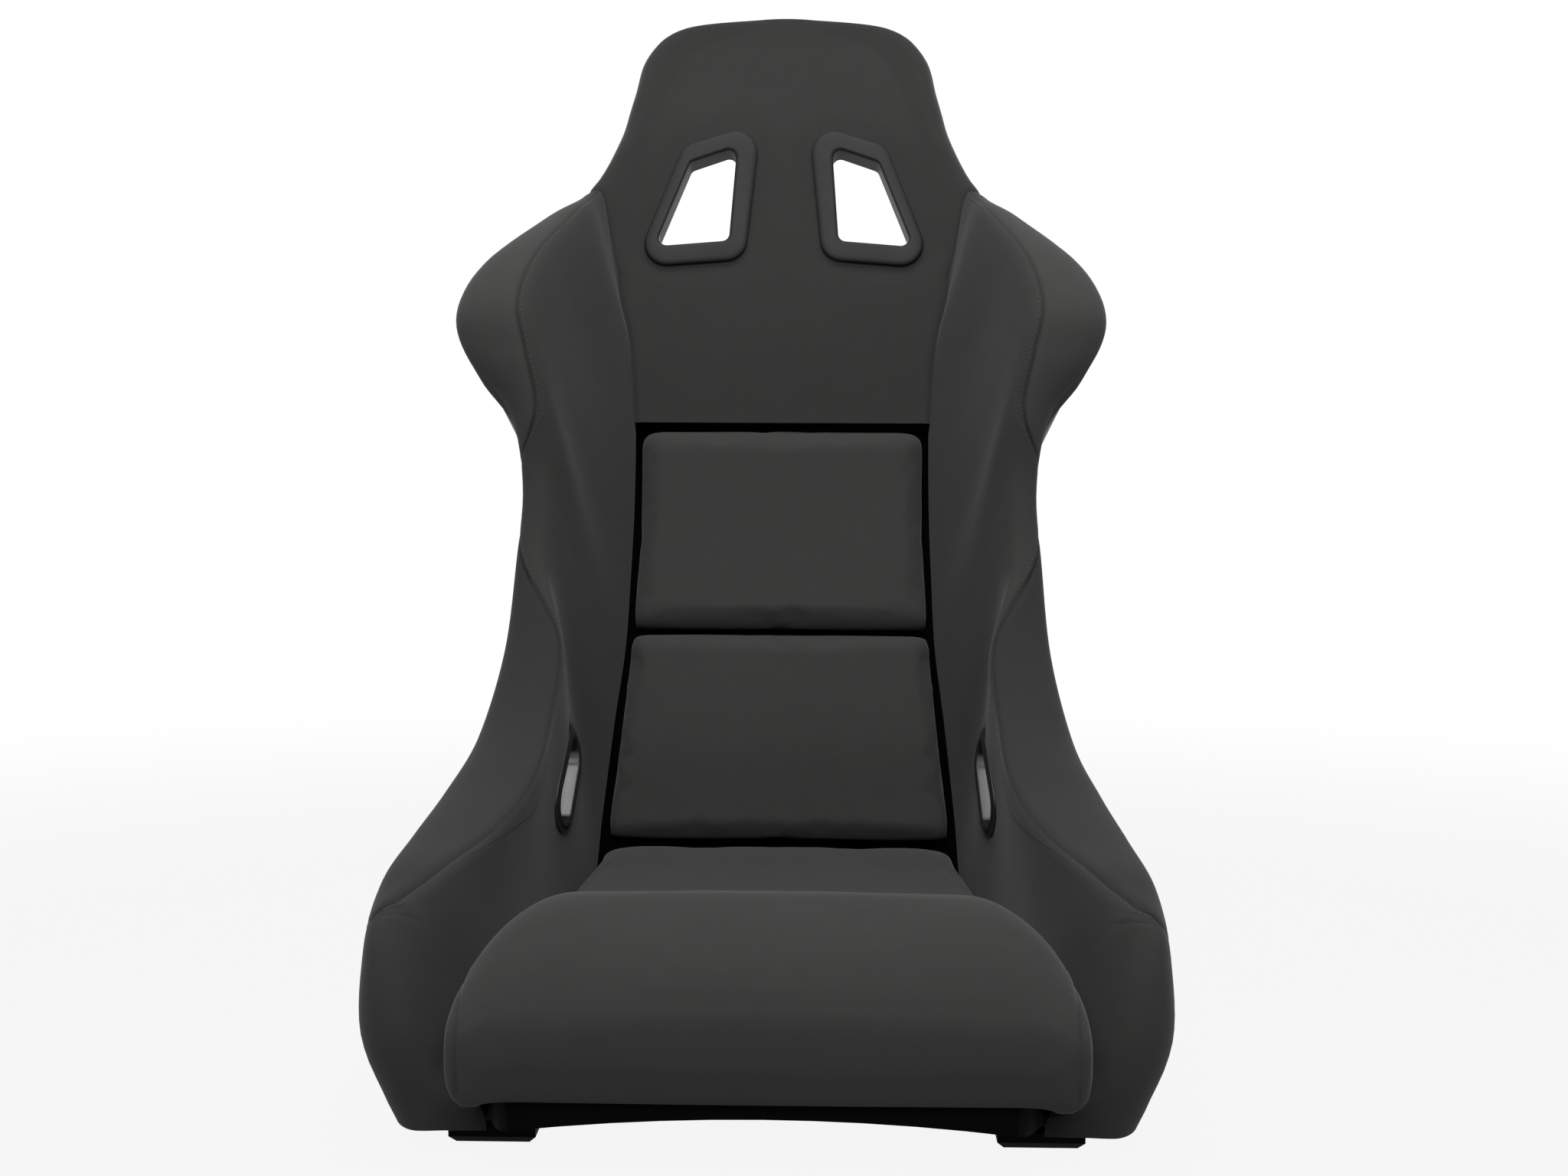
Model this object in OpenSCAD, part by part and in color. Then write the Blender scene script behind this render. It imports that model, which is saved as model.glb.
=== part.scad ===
// Fixed-back racing bucket seat: a moulded shell with covered foam bolsters,
// three lift-off cushions, harness slots, side and base mounting threads.
// X is across the seat, the occupant faces -Y, Z is up, floor at z = 0.

/* [Overall widths] */
// Half width of the seat at the nose of the thigh bolsters
thigh_half = 282; // [268:1:294]
// Half width of the seat at the hips
hip_half = 221; // [212:1:236]
// Half width of the seat at the waist
waist_half = 213; // [206:1:226]
// Half width of the seat at the shoulder wings
shoulder_half = 271; // [255:1:286]
// Half width of the head at the temples
head_half = 143; // [136:1:152]

/* [Shell and covers] */
// Wall of the moulded shell
shell_t = 4; // [3:0.5:6]
// Thickness of the backed cover fabric
cover_t = 2.5; // [1.5:0.5:4]
// Clearance between neighbouring layers
fit_gap = 0.3; // [0.2:0.1:0.6]
// Foam under the cover of the head
head_foam_t = 11.5; // [8:0.5:16]

/* [Cushions] */
// Thickness of the two back pads
back_pad_t = 32; // [26:1:36]
// Clearance at the sides of the back pads
pad_side_gap = 5; // [3:0.5:9]
// Height of the top edge of the upper back pad
upper_pad_top = 508; // [490:1:516]
// Height of the split between the two back pads
pad_split_z = 335; // [300:1:370]
// Gap between the two back pads
pad_split_gap = 7; // [4:1:12]
// Height of the bottom edge of the lower back pad
lower_pad_bottom = 164; // [162:1:180]
// Height of the crest of the thigh roll above the floor
roll_top_z = 183; // [172:1:196]
// From the sides of the seat to the ends of the thigh roll
roll_inset = 69; // [69:1:84]
// Half width of the seat cushion at its rear edge
cushion_rear_half = 152; // [146:1:153]
// Thickness of the hook and loop strips
strip_t = 1.6; // [1:0.2:2.4]
// Width of the hook and loop strips
strip_w = 25; // [16:1:40]

/* [Belt slots] */
// Width of the flange of a shoulder bezel
bezel_flange = 17; // [12:1:19]
// Thickness of a bezel flange
bezel_t = 3; // [2:0.5:5]
// Wall of the tube of a bezel
bezel_wall = 2.5; // [2:0.5:4]
// Radius of the screws of the rear bezels
bezel_screw_r = 2; // [1.5:0.25:2.5]
// Length of a lap belt opening
lap_slot_l = 78; // [60:1:84]
// Height of a lap belt opening
lap_slot_h = 34; // [26:1:40]
// Width of the flange of a lap bezel
lap_flange = 10; // [7:1:12]

/* [Mounts] */
// Distance between the two side threads, front to back
side_spacing = 290; // [270:5:295]
// Height of the side threads above the floor
side_thread_z = 66; // [60:1:76]
// Distance between base threads, front to back
base_spacing = 250; // [220:5:260]
// Distance between the faces that carry the side threads
side_width = 478; // [472:1:482]
// Distance between base threads, side to side
base_width = 388; // [376:2:396]
// Radius of a mounting thread
thread_r = 4; // [3:0.5:5]
// Wall of a threaded insert
insert_wall = 3; // [2:0.5:5]
// Length of a base skid
skid_l = 290; // [280:5:300]
// Width of a base skid
skid_w = 62; // [50:1:66]
// Height of a base skid
skid_h = 12; // [10:1:14]
// Distance between the two screws of a skid
skid_screw_spacing = 150; // [110:5:180]

/* [Hidden] */
$fn = 32;

// The seat is drawn from side lines that run from the front sill, round the nose of
// the thigh bolsters, along the hips, waist and shoulder wings to the crown. All the
// lines have the same stations, and a section joins the points of one station.
SILL = 0;
NOSE_TOP = 2;
LOIN = 8;
WING_FOOT = 10;
CHEST = 13;
NECK = 15;
CROWN = 20;
substeps = 2;

// Middle line of the shell floor and back, as [y, z]
middle_line = [[-277, 48], [-273, 84], [-250, 108], [-200, 104], [-130, 76], [-50, 46],
    [35, 34], [116, 60], [151, 150], [165, 238], [186, 312], [204, 376], [219, 440],
    [231, 512], [236, 580], [240, 640], [258, 716], [270, 766], [288, 812], [304, 850],
    [311, 868]];
// Line where the shell floor turns up into its side wall
channel_z = skid_h + fit_gap + shell_t;
edge_line = [[-186, channel_z + 4], [-172, channel_z + 1], [-150, channel_z], [-118, channel_z],
    [-62, channel_z], [4, channel_z], [70, channel_z], [134, 46],
    [151, 150], [165, 238], [186, 312], [204, 376], [219, 440],
    [231, 512], [236, 580], [240, 640], [258, 716], [270, 766], [288, 812], [304, 850],
    [311, 868]];
// Rim of the shell
rim_line = [[-202, 23], [-218, 86], [-209, 148], [-178, 186], [-125, 208], [-62, 228],
    [2, 258], [58, 322], [92, 392], [106, 462], [111, 524], [112, 568], [118, 603],
    [148, 642], [202, 682], [249, 714], [272, 768], [286, 808], [299, 845], [307, 864],
    [311, 872]];
// Step from the rim to the crest of the cover
crest_step = [[-20, -3], [-24, 3], [-22, 16], [-16, 8], [-8, 10], [-4, 18],
    [-6, 26], [-18, 12], [-16, 5], [-14, 2], [-22, 2], [-25, 4], [-24, 9],
    [-18, 13], [-11, 15], [-14, 5], [-18, 0], [-18, 1], [-16, 3], [-14, 5],
    [-12, 5]];
// Line where the cover of the bolsters starts, beside the cushions
cover_depth = head_foam_t + cover_t + 2 * fit_gap;
head_foot = [for (k = [NECK : CROWN]) middle_line[k] + cover_depth * [-0.97, 0.23]];
foot_line = concat([[-196, 24], [-200, 60], [-190, 92], [-160, 102], [-108, 102],
    [-45, 100], [25, 102], [94, 124], [124, 180], [145, 255], [164, 320], [179, 380],
    [192, 440], [203, 514], [213, 582]], head_foot);
// Half width of the seat over the covers
half_line = [thigh_half - 20, thigh_half, thigh_half - 3, thigh_half - 9, hip_half + 40,
    hip_half + 28, hip_half + 14, hip_half + 1, waist_half + 4, waist_half, waist_half + 12,
    shoulder_half - 12, shoulder_half, shoulder_half - 16, head_half + 69, head_half + 35,
    head_half + 9, head_half - 1, head_half - 13, head_half - 43, head_half - 118];
// Half widths of the shell: the end of its flat floor, and the belly of its side wall.
// Low down they follow the base skids and the faces of the side threads.
base_half = base_width / 2;
side_half = side_width / 2;
wall_line = [[base_half + 18, side_half - 9], [base_half + 20, side_half - 5],
    [base_half + 18, side_half - 8], [base_half + 17, side_half - 6],
    [base_half + 15, side_half - 4], [base_half + 15, side_half - 2],
    [base_half + 13, side_half - 2], [hip_half - 23, side_half - 3],
    [waist_half - 36, waist_half + 12], [waist_half - 50, waist_half - 8],
    [waist_half - 58, waist_half - 38], [shoulder_half - 118, shoulder_half - 88],
    [shoulder_half - 118, shoulder_half - 82], [shoulder_half - 116, shoulder_half - 82],
    [head_half + 7, head_half + 29], [head_half + 2, head_half + 15],
    [head_half - 25, head_half - 7], [head_half - 35, head_half - 17],
    [head_half - 47, head_half - 29], [head_half - 73, head_half - 59],
    [head_half - 132, head_half - 127]];
// How far inside the half width over the covers lie the foot of the cover, the belly
// of its face and its crest
inset_line = [[52, 48, 22], [71, 60, 30], [74, 54, 16], [88, 60, 40], [90, 66, 64],
    [87, 60, 70], [78, 50, 60], [70, 44, 48], [68, 38, 22], [72, 44, 15], [92, 56, 25],
    [129, 84, 50], [143, 96, 55], [127, 80, 50], [79, 56, 34], [34, 24, 14], [26, 22, 18],
    [28, 22, 18], [28, 22, 18], [26, 20, 16], [13, 11, 8]];

// Steps of the shell wall, of the cover face and of its arc over the rim
wall_steps = 8;
face_steps = 5;
arc_steps = 4;

function mix(a, b, t) = a + (b - a) * t;
function curve(a, b, c, d, t) =
    0.5 * (2 * b + (c - a) * t + (2 * a - 5 * b + 4 * c - d) * t * t
    + (3 * b - a - 3 * c + d) * t * t * t);
// Smooth value of a station list at any station
function at(list, s) =
    let (last = len(list) - 1, i = min(floor(s), last - 1))
    curve(list[max(i - 1, 0)], list[i], list[i + 1], list[min(i + 2, last)], s - i);
function bezier(a, b, c, d, t) =
    let (r = 1 - t)
    r * r * r * a + 3 * r * r * t * b + 3 * r * t * t * c + t * t * t * d;
function smooth(t) = let (c = min(max(t, 0), 1)) c * c * (3 - 2 * c);
function place(x, line) = [x, line[0], line[1]];
function unit(v) = v / max(norm(v), 1e-9);

// Station at which a side line reaches a height, on the back of the seat
function station_at(list, z, low = 8, high = CROWN, n = 22) =
    let (m = (low + high) / 2)
    n == 0 ? m : at(list, m)[1] < z ? station_at(list, z, m, high, n - 1)
        : station_at(list, z, low, m, n - 1);

// Inner face of the shell: floor across to the wall, then the wall up to the rim
function half_w(s) = at(half_line, s);
rim_gap = 1.4;
function rim_x(s) = half_w(s) - shell_t - rim_gap - cover_t;
// Share of the half floor where the raised middle starts to drop to the skid channel
function drop_start(s) = mix(0.8, 0.66, smooth((s - 0.5) / 2));
drop_share = 0.16;
function edge_at(s) = let (p = at(edge_line, s)) [p[0], max(p[1], channel_z)];
function floor_shares(s) =
    let (d = drop_start(s)) [0, 0.6 * d, d, d + drop_share / 2, d + drop_share];
sill_arch = 15;
function floor_point(s, share) =
    let (w = smooth((share - drop_start(s)) / drop_share),
        arch = sill_arch * share * share * (1 - smooth(s / 1.5)) * (1 - w))
    place(share * at(wall_line, s)[0],
        mix(at(middle_line, s), edge_at(s), w) - [0, arch]);
function wall_point(s, u) =
    let (low = at(wall_line, s)[0], belly = at(wall_line, s)[1], foot = edge_at(s),
        rim = at(rim_line, s))
    bezier(place(low, foot), place(belly, foot),
        place(belly, mix(foot, rim, 0.35)), place(rim_x(s), rim), u);

// Outer face of the cover, from its foot to its crest
function face_point(s, u) =
    let (ins = at(inset_line, s), foot = at(foot_line, s),
        crest = at(rim_line, s) + at(crest_step, s), half = half_w(s),
        reach = 0.3 * max(ins[0] - ins[2], 0) + 4)
    bezier(place(half - ins[0], foot), place(half - ins[1], mix(foot, crest, 0.42)),
        place(half - ins[2] - reach, crest), place(half - ins[2], crest), u);

stations = [for (s = [SILL : 1 / substeps : CROWN]) s];
half_shell = [for (s = stations) concat([for (f = floor_shares(s)) floor_point(s, f)],
    [for (k = [0 : wall_steps]) wall_point(s, k / wall_steps)])];
function mirrored(row) = concat([for (j = [len(row) - 1 : -1 : 1]) [-row[j][0], row[j][1],
    row[j][2]]], row);
shell_in = [for (row = half_shell) mirrored(row)];
side_n = len(half_shell[0]) - 1;

// Unit normals of a grid of points, towards the occupant
function grid_normals(g) =
    let (ni = len(g) - 1, nj = len(g[0]) - 1)
    [for (i = [0 : ni]) [for (j = [0 : nj])
        unit(cross(g[i][min(j + 1, nj)] - g[i][max(j - 1, 0)],
            g[min(i + 1, ni)][j] - g[max(i - 1, 0)][j]))]];
function grid_offset(g, normals, d) =
    [for (i = [0 : len(g) - 1]) [for (j = [0 : len(g[0]) - 1]) g[i][j] + d * normals[i][j]]];

shell_normals = grid_normals(shell_in);
shell_out = grid_offset(shell_in, shell_normals, -shell_t);

// Left half of a layer that lies a depth under the face of the cover and a depth
// beyond the inner face of the shell at the rim: face, arc over the rim, then wrap
face_grid = [for (s = stations) [for (k = [0 : face_steps]) face_point(s, k / face_steps)]];
face_normals = grid_normals(face_grid);
wrap_share = 0.35;
function layer_row(i, face_depth, rim_depth) =
    let (face = [for (k = [0 : face_steps]) face_grid[i][k] - face_depth * face_normals[i][k]],
        crest = face[face_steps], n = 2 * side_n,
        end = shell_in[i][n] - rim_depth * shell_normals[i][n]
            + [(rim_depth - shell_t) * (1 - abs(shell_normals[i][n][0])), 0, 0],
        low = shell_in[i][n - 1] - rim_depth * shell_normals[i][n - 1],
        hub = [crest[0], end[1], end[2]])
    concat(face, [for (k = [1 : arc_steps]) let (a = 90 * k / arc_steps)
        hub + (crest - hub) * cos(a) + (end - hub) * sin(a)], [mix(end, low, wrap_share)]);
function layer(face_depth, rim_depth) =
    [for (i = [0 : len(stations) - 1]) layer_row(i, face_depth, rim_depth)];
foam_gap = 0.5;
cover_out = layer(0, shell_t + rim_gap + cover_t);
cover_in = layer(cover_t, shell_t + rim_gap);
foam_top = layer(cover_t + foam_gap, shell_t + rim_gap - foam_gap);
foam_side = grid_offset(shell_in, shell_normals, fit_gap);

// Closed skin between two grids, over the cells whose low corner is listed. Cells
// before the fold column are split along the other diagonal, as in a mirror.
module skin(top, under, cells, fold = 0) {
    ni = len(top) - 1;
    nj = len(top[0]) - 1;
    w = nj + 1;
    n = (ni + 1) * w;
    function on(i, j) = i >= 0 && j >= 0 && i < ni && j < nj && cells[i][j];
    faces = [for (i = [0 : ni - 1]) for (j = [0 : nj - 1]) if (on(i, j))
        let (a = i * w + j, b = a + 1, d = a + w, c = d + 1)
        each concat(j < fold
            ? [[a, d, b], [b, d, c], [n + a, n + b, n + d], [n + b, n + c, n + d]]
            : [[a, d, c], [a, c, b], [n + a, n + c, n + d], [n + a, n + b, n + c]],
            on(i, j - 1) ? [] : [[d, a, n + a], [d, n + a, n + d]],
            on(i, j + 1) ? [] : [[b, c, n + c], [b, n + c, n + b]],
            on(i - 1, j) ? [] : [[a, b, n + b], [a, n + b, n + a]],
            on(i + 1, j) ? [] : [[c, d, n + d], [c, n + d, n + c]])];
    polyhedron([for (row = top) each row, for (row = under) each row], faces, 10);
}

// Cells of a grid that lie between two stations and two columns
function cells(ni, nj, test) = [for (i = [0 : ni - 1]) [for (j = [0 : nj - 1]) test(i, j)]];
rows = len(stations) - 1;
cover_n = face_steps + arc_steps + 1;
function row_of(s) = round(s * substeps);
hip_first = row_of(NOSE_TOP);
hip_last = row_of(LOIN);
shoulder_first = row_of(WING_FOOT);
neck = row_of(NECK);
chest = row_of(CHEST);
function outer_panel(i, j) =
    j >= face_steps && (i >= hip_first && i < hip_last || i >= shoulder_first && i < neck);

// Number of floor columns of a half section
floor_n = 5;

// Head cover and head foam: the layer rows of both sides joined across the middle
back_lean = [0.97, -0.23];
crown_lift = 5;
function head_layer(g, depth) = [for (i = [chest : rows])
    let (s = stations[i], foot = face_point(s, 0), crest = g[i][face_steps],
        back = g[i][cover_n - 1], n = floor_n + cover_n,
        line = i < rows - 1 ? [foot[1], foot[2]] + depth * back_lean : [crest[1], crest[2]])
    mirrored(i == rows
        ? [for (c = [0 : n]) place(half_w(s) * c / n, [back[1], back[2] + crown_lift - depth])]
        : concat([for (f = floor_shares(s)) place(f * foot[0], line)],
            [place(foot[0] - fit_gap, line)],
            [for (j = [1 : cover_n]) i < rows - 1 || j > face_steps ? g[i][j]
                : place(g[i][j][0], line)]))];
head_out = head_layer(cover_out, 0);
head_in = head_layer(cover_in, cover_t);
head_foam_top = head_layer(foam_top, cover_t + foam_gap);
head_n = len(head_out[0]) - 1;
head_mid = head_n / 2;
function head_cell(i, j) = i >= neck - chest || abs(j + 0.5 - head_mid) < floor_n;

module shell_skin() {
    skin(shell_in, shell_out, cells(rows, 2 * side_n, function (i, j) true), side_n);
}

// Part of a grid from its low row and column to its high ones, with every edge
// drawn in by the seam gap
seam_gap = 0.3;
function toward(p, q) = p + seam_gap * unit(q - p);
function patch(g, i0, i1, j0, j1) =
    let (rows = [for (i = [i0 : i1])
            i == i0 ? [for (j = [j0 : j1]) toward(g[i][j], g[i + 1][j])]
            : i == i1 ? [for (j = [j0 : j1]) toward(g[i][j], g[i - 1][j])]
            : [for (j = [j0 : j1]) g[i][j]]],
        n = j1 - j0)
    [for (r = rows) [for (j = [0 : n])
        j == 0 ? toward(r[0], r[1]) : j == n ? toward(r[n], r[n - 1]) : r[j]]];

// Point of a grid between its rows and columns, and its x over a spot [y, z]
function grid_at(g, a, b) =
    let (i = min(max(floor(a), 0), len(g) - 2), j = min(max(floor(b), 0), len(g[0]) - 2))
    mix(mix(g[i][j], g[i][j + 1], b - j), mix(g[i + 1][j], g[i + 1][j + 1], b - j), a - i);
function grid_x(g, spot, a, b, n = 14) =
    let (h = 0.01, p = grid_at(g, a, b), q = (grid_at(g, a + h, b) - p) / h,
        r = (grid_at(g, a, b + h) - p) / h, dy = spot[0] - p[1], dz = spot[1] - p[2],
        det = q[1] * r[2] - q[2] * r[1])
    n == 0 ? p[0] : grid_x(g, spot, a + (dy * r[2] - dz * r[1]) / det,
        b + (q[1] * dz - q[2] * dy) / det, n - 1);

module on_right() mirror([1, 0, 0]) children();

// Frame of the flat upper back: X across, Y up the back, Z towards the occupant,
// with Z = 0 on the inner face of the shell
back_base = middle_line[NECK];
back_rise = middle_line[NECK + 1] - back_base;
back_angle = atan2(back_rise[1], back_rise[0]);
module on_back() translate([0, back_base[0], back_base[1]]) rotate([back_angle, 0, 0]) children();

// Shoulder belt slots: centres of the corner arcs of the opening and of the flange
slot_core = [[50, 108], [78, 98], [103, 34], [55, 38]];
slot_r = 7;
flange_core = [[44, 113], [75, 103], [103, 29], [52, 33]];
corner_steps = 6;
function grown(core, r) =
    let (n = len(core))
    [for (i = [0 : n - 1])
        let (p = core[i], a = p - core[(i + n - 1) % n], b = core[(i + 1) % n] - p,
            start = atan2(a[1], a[0]) + 90,
            turn = (atan2(b[1], b[0]) + 90 - start + 540) % 360 - 180)
        for (k = [0 : corner_steps]) let (t = start + turn * k / corner_steps)
            p + r * [cos(t), sin(t)]];
bezel_lift = 0.9;
bezel_seat = cover_depth + bezel_lift;
rear_flange_w = 12;
rear_flange_t = 2.5;
rear_seat = -shell_t - bezel_lift;
// Corner screws of a rear bezel stand outward from the corner centres of the opening
screw_reach = slot_r + rear_flange_w / 2 + 1;
screw_spots = [for (i = [0 : 3])
    let (c = [72, 70], d = slot_core[i] - c) slot_core[i] + screw_reach * d / norm(d)];
head_r = 3.4;
head_h = 1.8;

module shoulder_cut() {
    for (side = [0, 1]) mirror([side, 0, 0]) on_back()
        translate([0, 0, -3 * shell_t])
            linear_extrude(3 * shell_t + cover_depth + 20)
                polygon(grown(slot_core, slot_r + bezel_wall + fit_gap));
}
module shoulder_bezel() {
    color("#2b2726") on_back() {
        translate([0, 0, bezel_seat]) linear_extrude(bezel_t) difference() {
            polygon(grown(flange_core, bezel_flange + 3));
            polygon(grown(slot_core, slot_r));
        }
        translate([0, 0, rear_seat + fit_gap])
            linear_extrude(bezel_seat + bezel_t - rear_seat - fit_gap)
            difference() {
                polygon(grown(slot_core, slot_r + bezel_wall));
                polygon(grown(slot_core, slot_r));
            }
    }
}
module rear_bezel() {
    color("#2b2726") on_back() difference() {
        translate([0, 0, rear_seat - rear_flange_t]) linear_extrude(rear_flange_t)
            difference() {
                polygon(grown(slot_core, slot_r + rear_flange_w));
                polygon(grown(slot_core, slot_r));
            }
        for (p = screw_spots) translate([p[0], p[1], rear_seat - 2 * rear_flange_t])
            cylinder(r = bezel_screw_r + fit_gap, h = 3 * rear_flange_t);
    }
}
module bezel_screw_set() {
    on_back() for (p = screw_spots) translate([p[0], p[1], rear_seat - rear_flange_t]) {
        translate([0, 0, -fit_gap - head_h]) cylinder(r = head_r, h = head_h);
        translate([0, 0, -fit_gap]) cylinder(r = bezel_screw_r,
            h = fit_gap + rear_flange_t + bezel_lift + shell_t);
    }
}
module bezel_screws() {
    color("#8a8a8c") for (side = [0, 1]) mirror([side, 0, 0]) bezel_screw_set();
}
module bezel_screw_holes() {
    for (side = [0, 1]) mirror([side, 0, 0]) on_back() for (p = screw_spots)
        translate([p[0], p[1], -3 * shell_t])
            cylinder(r = bezel_screw_r + fit_gap, h = 4 * shell_t);
}

// Lap belt openings, drawn as seen from the side: [y, z] outlines, x from the surfaces
lap_centre = [62, 222];
lap_tilt = 45;
lap_points = 24;
function lap_spot(k, grow) =
    let (a = 360 * (k + 0.5) / lap_points, r = lap_slot_h / 2 + grow,
        u = sign(cos(a)) * (lap_slot_l - lap_slot_h) / 2 + r * cos(a), v = r * sin(a))
    lap_centre + [u * cos(lap_tilt) - v * sin(lap_tilt), u * sin(lap_tilt) + v * cos(lap_tilt)];
face_row = 11;
face_column = 2.5;
wall_column = 2 * side_n - 4;
function on_face(spot) = grid_x(cover_out, spot, face_row, face_column);
function on_wall(spot) = grid_x(shell_out, spot, face_row, wall_column);
function lap_loop(grow, lift) = [for (k = [0 : lap_points - 1])
    let (p = lap_spot(k, grow)) [on_face(p) - lift, p[0], p[1]]];
function wall_loop(grow, lift) = [for (k = [0 : lap_points - 1])
    let (p = lap_spot(k, grow)) [on_wall(p) + lift, p[0], p[1]]];
lap_lift = 0.8;
outer_lap_t = 2.4;
module lap_cut() {
    for (side = [0, 1]) mirror([side, 0, 0])
        translate([thigh_half / 2, 0, 0]) rotate([90, 0, 90]) linear_extrude(thigh_half / 2)
            polygon([for (k = [0 : lap_points - 1]) lap_spot(k, bezel_wall + fit_gap)]);
}
// Closed ring through loops that return to the first one
module ring(loops) {
    m = len(loops[0]);
    k = len(loops);
    polyhedron([for (l = loops) each l], [for (i = [0 : k - 1]) for (j = [0 : m - 1])
        let (a = i * m + j, b = i * m + (j + 1) % m, c = (i + 1) % k * m + (j + 1) % m,
            d = (i + 1) % k * m + j) each [[a, c, b], [a, d, c]]], 10);
}
module lap_bezel() {
    color("#2b2726") ring([lap_loop(0, 0.7 * bezel_t), lap_loop(0.4 * lap_flange, bezel_t),
        lap_loop(0.85 * lap_flange, 0.75 * bezel_t), lap_loop(lap_flange, lap_lift + 0.5),
        lap_loop(lap_flange, lap_lift), lap_loop(bezel_wall, lap_lift),
        wall_loop(bezel_wall, outer_lap_t), wall_loop(0, outer_lap_t)]);
}
module outer_lap_bezel() {
    hole = bezel_wall + fit_gap;
    color("#2b2726") ring([wall_loop(hole, outer_lap_t), wall_loop(hole, lap_lift),
        wall_loop(lap_flange, lap_lift), wall_loop(lap_flange, lap_lift + 0.5),
        wall_loop(0.8 * lap_flange, outer_lap_t)]);
}

// Threaded inserts and base skids
insert_r = thread_r + insert_wall;
side_insert_l = 24;
side_front_y = -178;
skid_middle_y = -43;
base_insert_l = 10;
skid_chamfer = 5;
skid_screw_r = 3;
skid_head_r = 6;
skid_head_h = 3;
skid_screw_floor = 3;
module side_spots() {
    for (side = [0, 1]) mirror([side, 0, 0]) for (k = [0, 1])
        translate([side_half, side_front_y + k * side_spacing, side_thread_z])
            rotate([0, -90, 0]) children();
}
module side_inserts() {
    color("#a9a9ab") side_spots() difference() {
        cylinder(r = insert_r, h = side_insert_l);
        translate([0, 0, -1]) cylinder(r = thread_r, h = side_insert_l - insert_wall + 1);
    }
}
module side_insert_cut() {
    side_spots() translate([0, 0, -side_insert_l])
        cylinder(r = insert_r + fit_gap, h = 2 * side_insert_l + fit_gap);
}
module base_spots() {
    for (side = [-1, 1]) for (k = [-1, 1])
        translate([side * base_half, skid_middle_y + k * base_spacing / 2, 0]) children();
}
module base_inserts() {
    color("#a9a9ab") base_spots() difference() {
        cylinder(r = insert_r, h = base_insert_l);
        translate([0, 0, -1]) cylinder(r = thread_r, h = base_insert_l - 2 + 1);
    }
}
module screw_spots_in_skid() {
    for (k = [-1, 1]) translate([base_half, skid_middle_y + k * skid_screw_spacing / 2, 0])
        children();
}
module base_skid() {
    w = skid_w / 2;
    y0 = skid_middle_y - skid_l / 2;
    color("#161617") difference() {
        intersection() {
            translate([base_half, y0 + skid_l, 0]) rotate([90, 0, 0])
                linear_extrude(skid_l) polygon([[-w, skid_h], [-w, skid_chamfer],
                    [skid_chamfer - w, 0], [w - skid_chamfer, 0], [w, skid_chamfer],
                    [w, skid_h]]);
            translate([base_half - w - 1, 0, 0]) rotate([90, 0, 90])
                linear_extrude(skid_w + 2) polygon([[y0, skid_h], [y0, skid_chamfer],
                    [y0 + skid_chamfer, 0], [y0 + skid_l - skid_chamfer, 0],
                    [y0 + skid_l, skid_chamfer], [y0 + skid_l, skid_h]]);
        }
        for (k = [-1, 1])
            translate([base_half, skid_middle_y + k * base_spacing / 2, -1])
                cylinder(r = insert_r + fit_gap, h = base_insert_l + fit_gap + 1);
        screw_spots_in_skid() translate([0, 0, skid_screw_floor - fit_gap])
            cylinder(r = skid_screw_r + fit_gap, h = skid_h);
    }
}
module skid_screws() {
    seat = channel_z + fit_gap;
    color("#8a8a8c") for (side = [0, 1]) mirror([side, 0, 0]) screw_spots_in_skid() {
        translate([0, 0, seat]) cylinder(r = skid_head_r, h = skid_head_h);
        translate([0, 0, skid_screw_floor]) cylinder(r = skid_screw_r,
            h = seat - skid_screw_floor);
    }
}
module skid_screw_holes() {
    for (side = [0, 1]) mirror([side, 0, 0]) screw_spots_in_skid()
        cylinder(r = skid_screw_r + fit_gap, h = channel_z + shell_t);
}

// Moulded shell with its belt slots and screw holes
module shell() {
    color("#141415") difference() {
        shell_skin();
        shoulder_cut();
        lap_cut();
        side_insert_cut();
        bezel_screw_holes();
        skid_screw_holes();
    }
}

// Foam of a bolster, between the cover and the side wall of the shell
foam_n = face_steps + arc_steps - 1;
foam_end_gap = 4;
function columns(g, j0, j1) = [for (r = g) [for (j = [j0 : j1]) r[j]]];
function ended(g, j0, j1) = [for (i = [0 : neck]) [for (j = [j0 : j1])
    i < neck ? g[i][j] : g[i][j] + foam_end_gap * unit(g[i - 1][j] - g[i][j])]];
module bolster_foam() {
    color("#77736a") difference() {
        skin(ended(foam_top, 0, foam_n),
            ended(foam_side, 2 * side_n - wall_steps, 2 * side_n),
            cells(neck, foam_n, function (i, j) true));
        lap_cut();
        side_insert_cut();
    }
}
module bolster_cover() {
    color("#3a393a") difference() {
        skin(cover_out, cover_in, cells(neck, cover_n, function (i, j) !outer_panel(i, j)));
        lap_cut();
    }
}
module outer_patch(first, last) {
    color("#3a393a") skin(patch(cover_out, first, last, face_steps, cover_n),
        patch(cover_in, first, last, face_steps, cover_n),
        cells(last - first, cover_n - face_steps, function (i, j) true));
}
module hip_panel() { outer_patch(hip_first, hip_last); }
module shoulder_panel() { outer_patch(shoulder_first, neck); }

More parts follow.
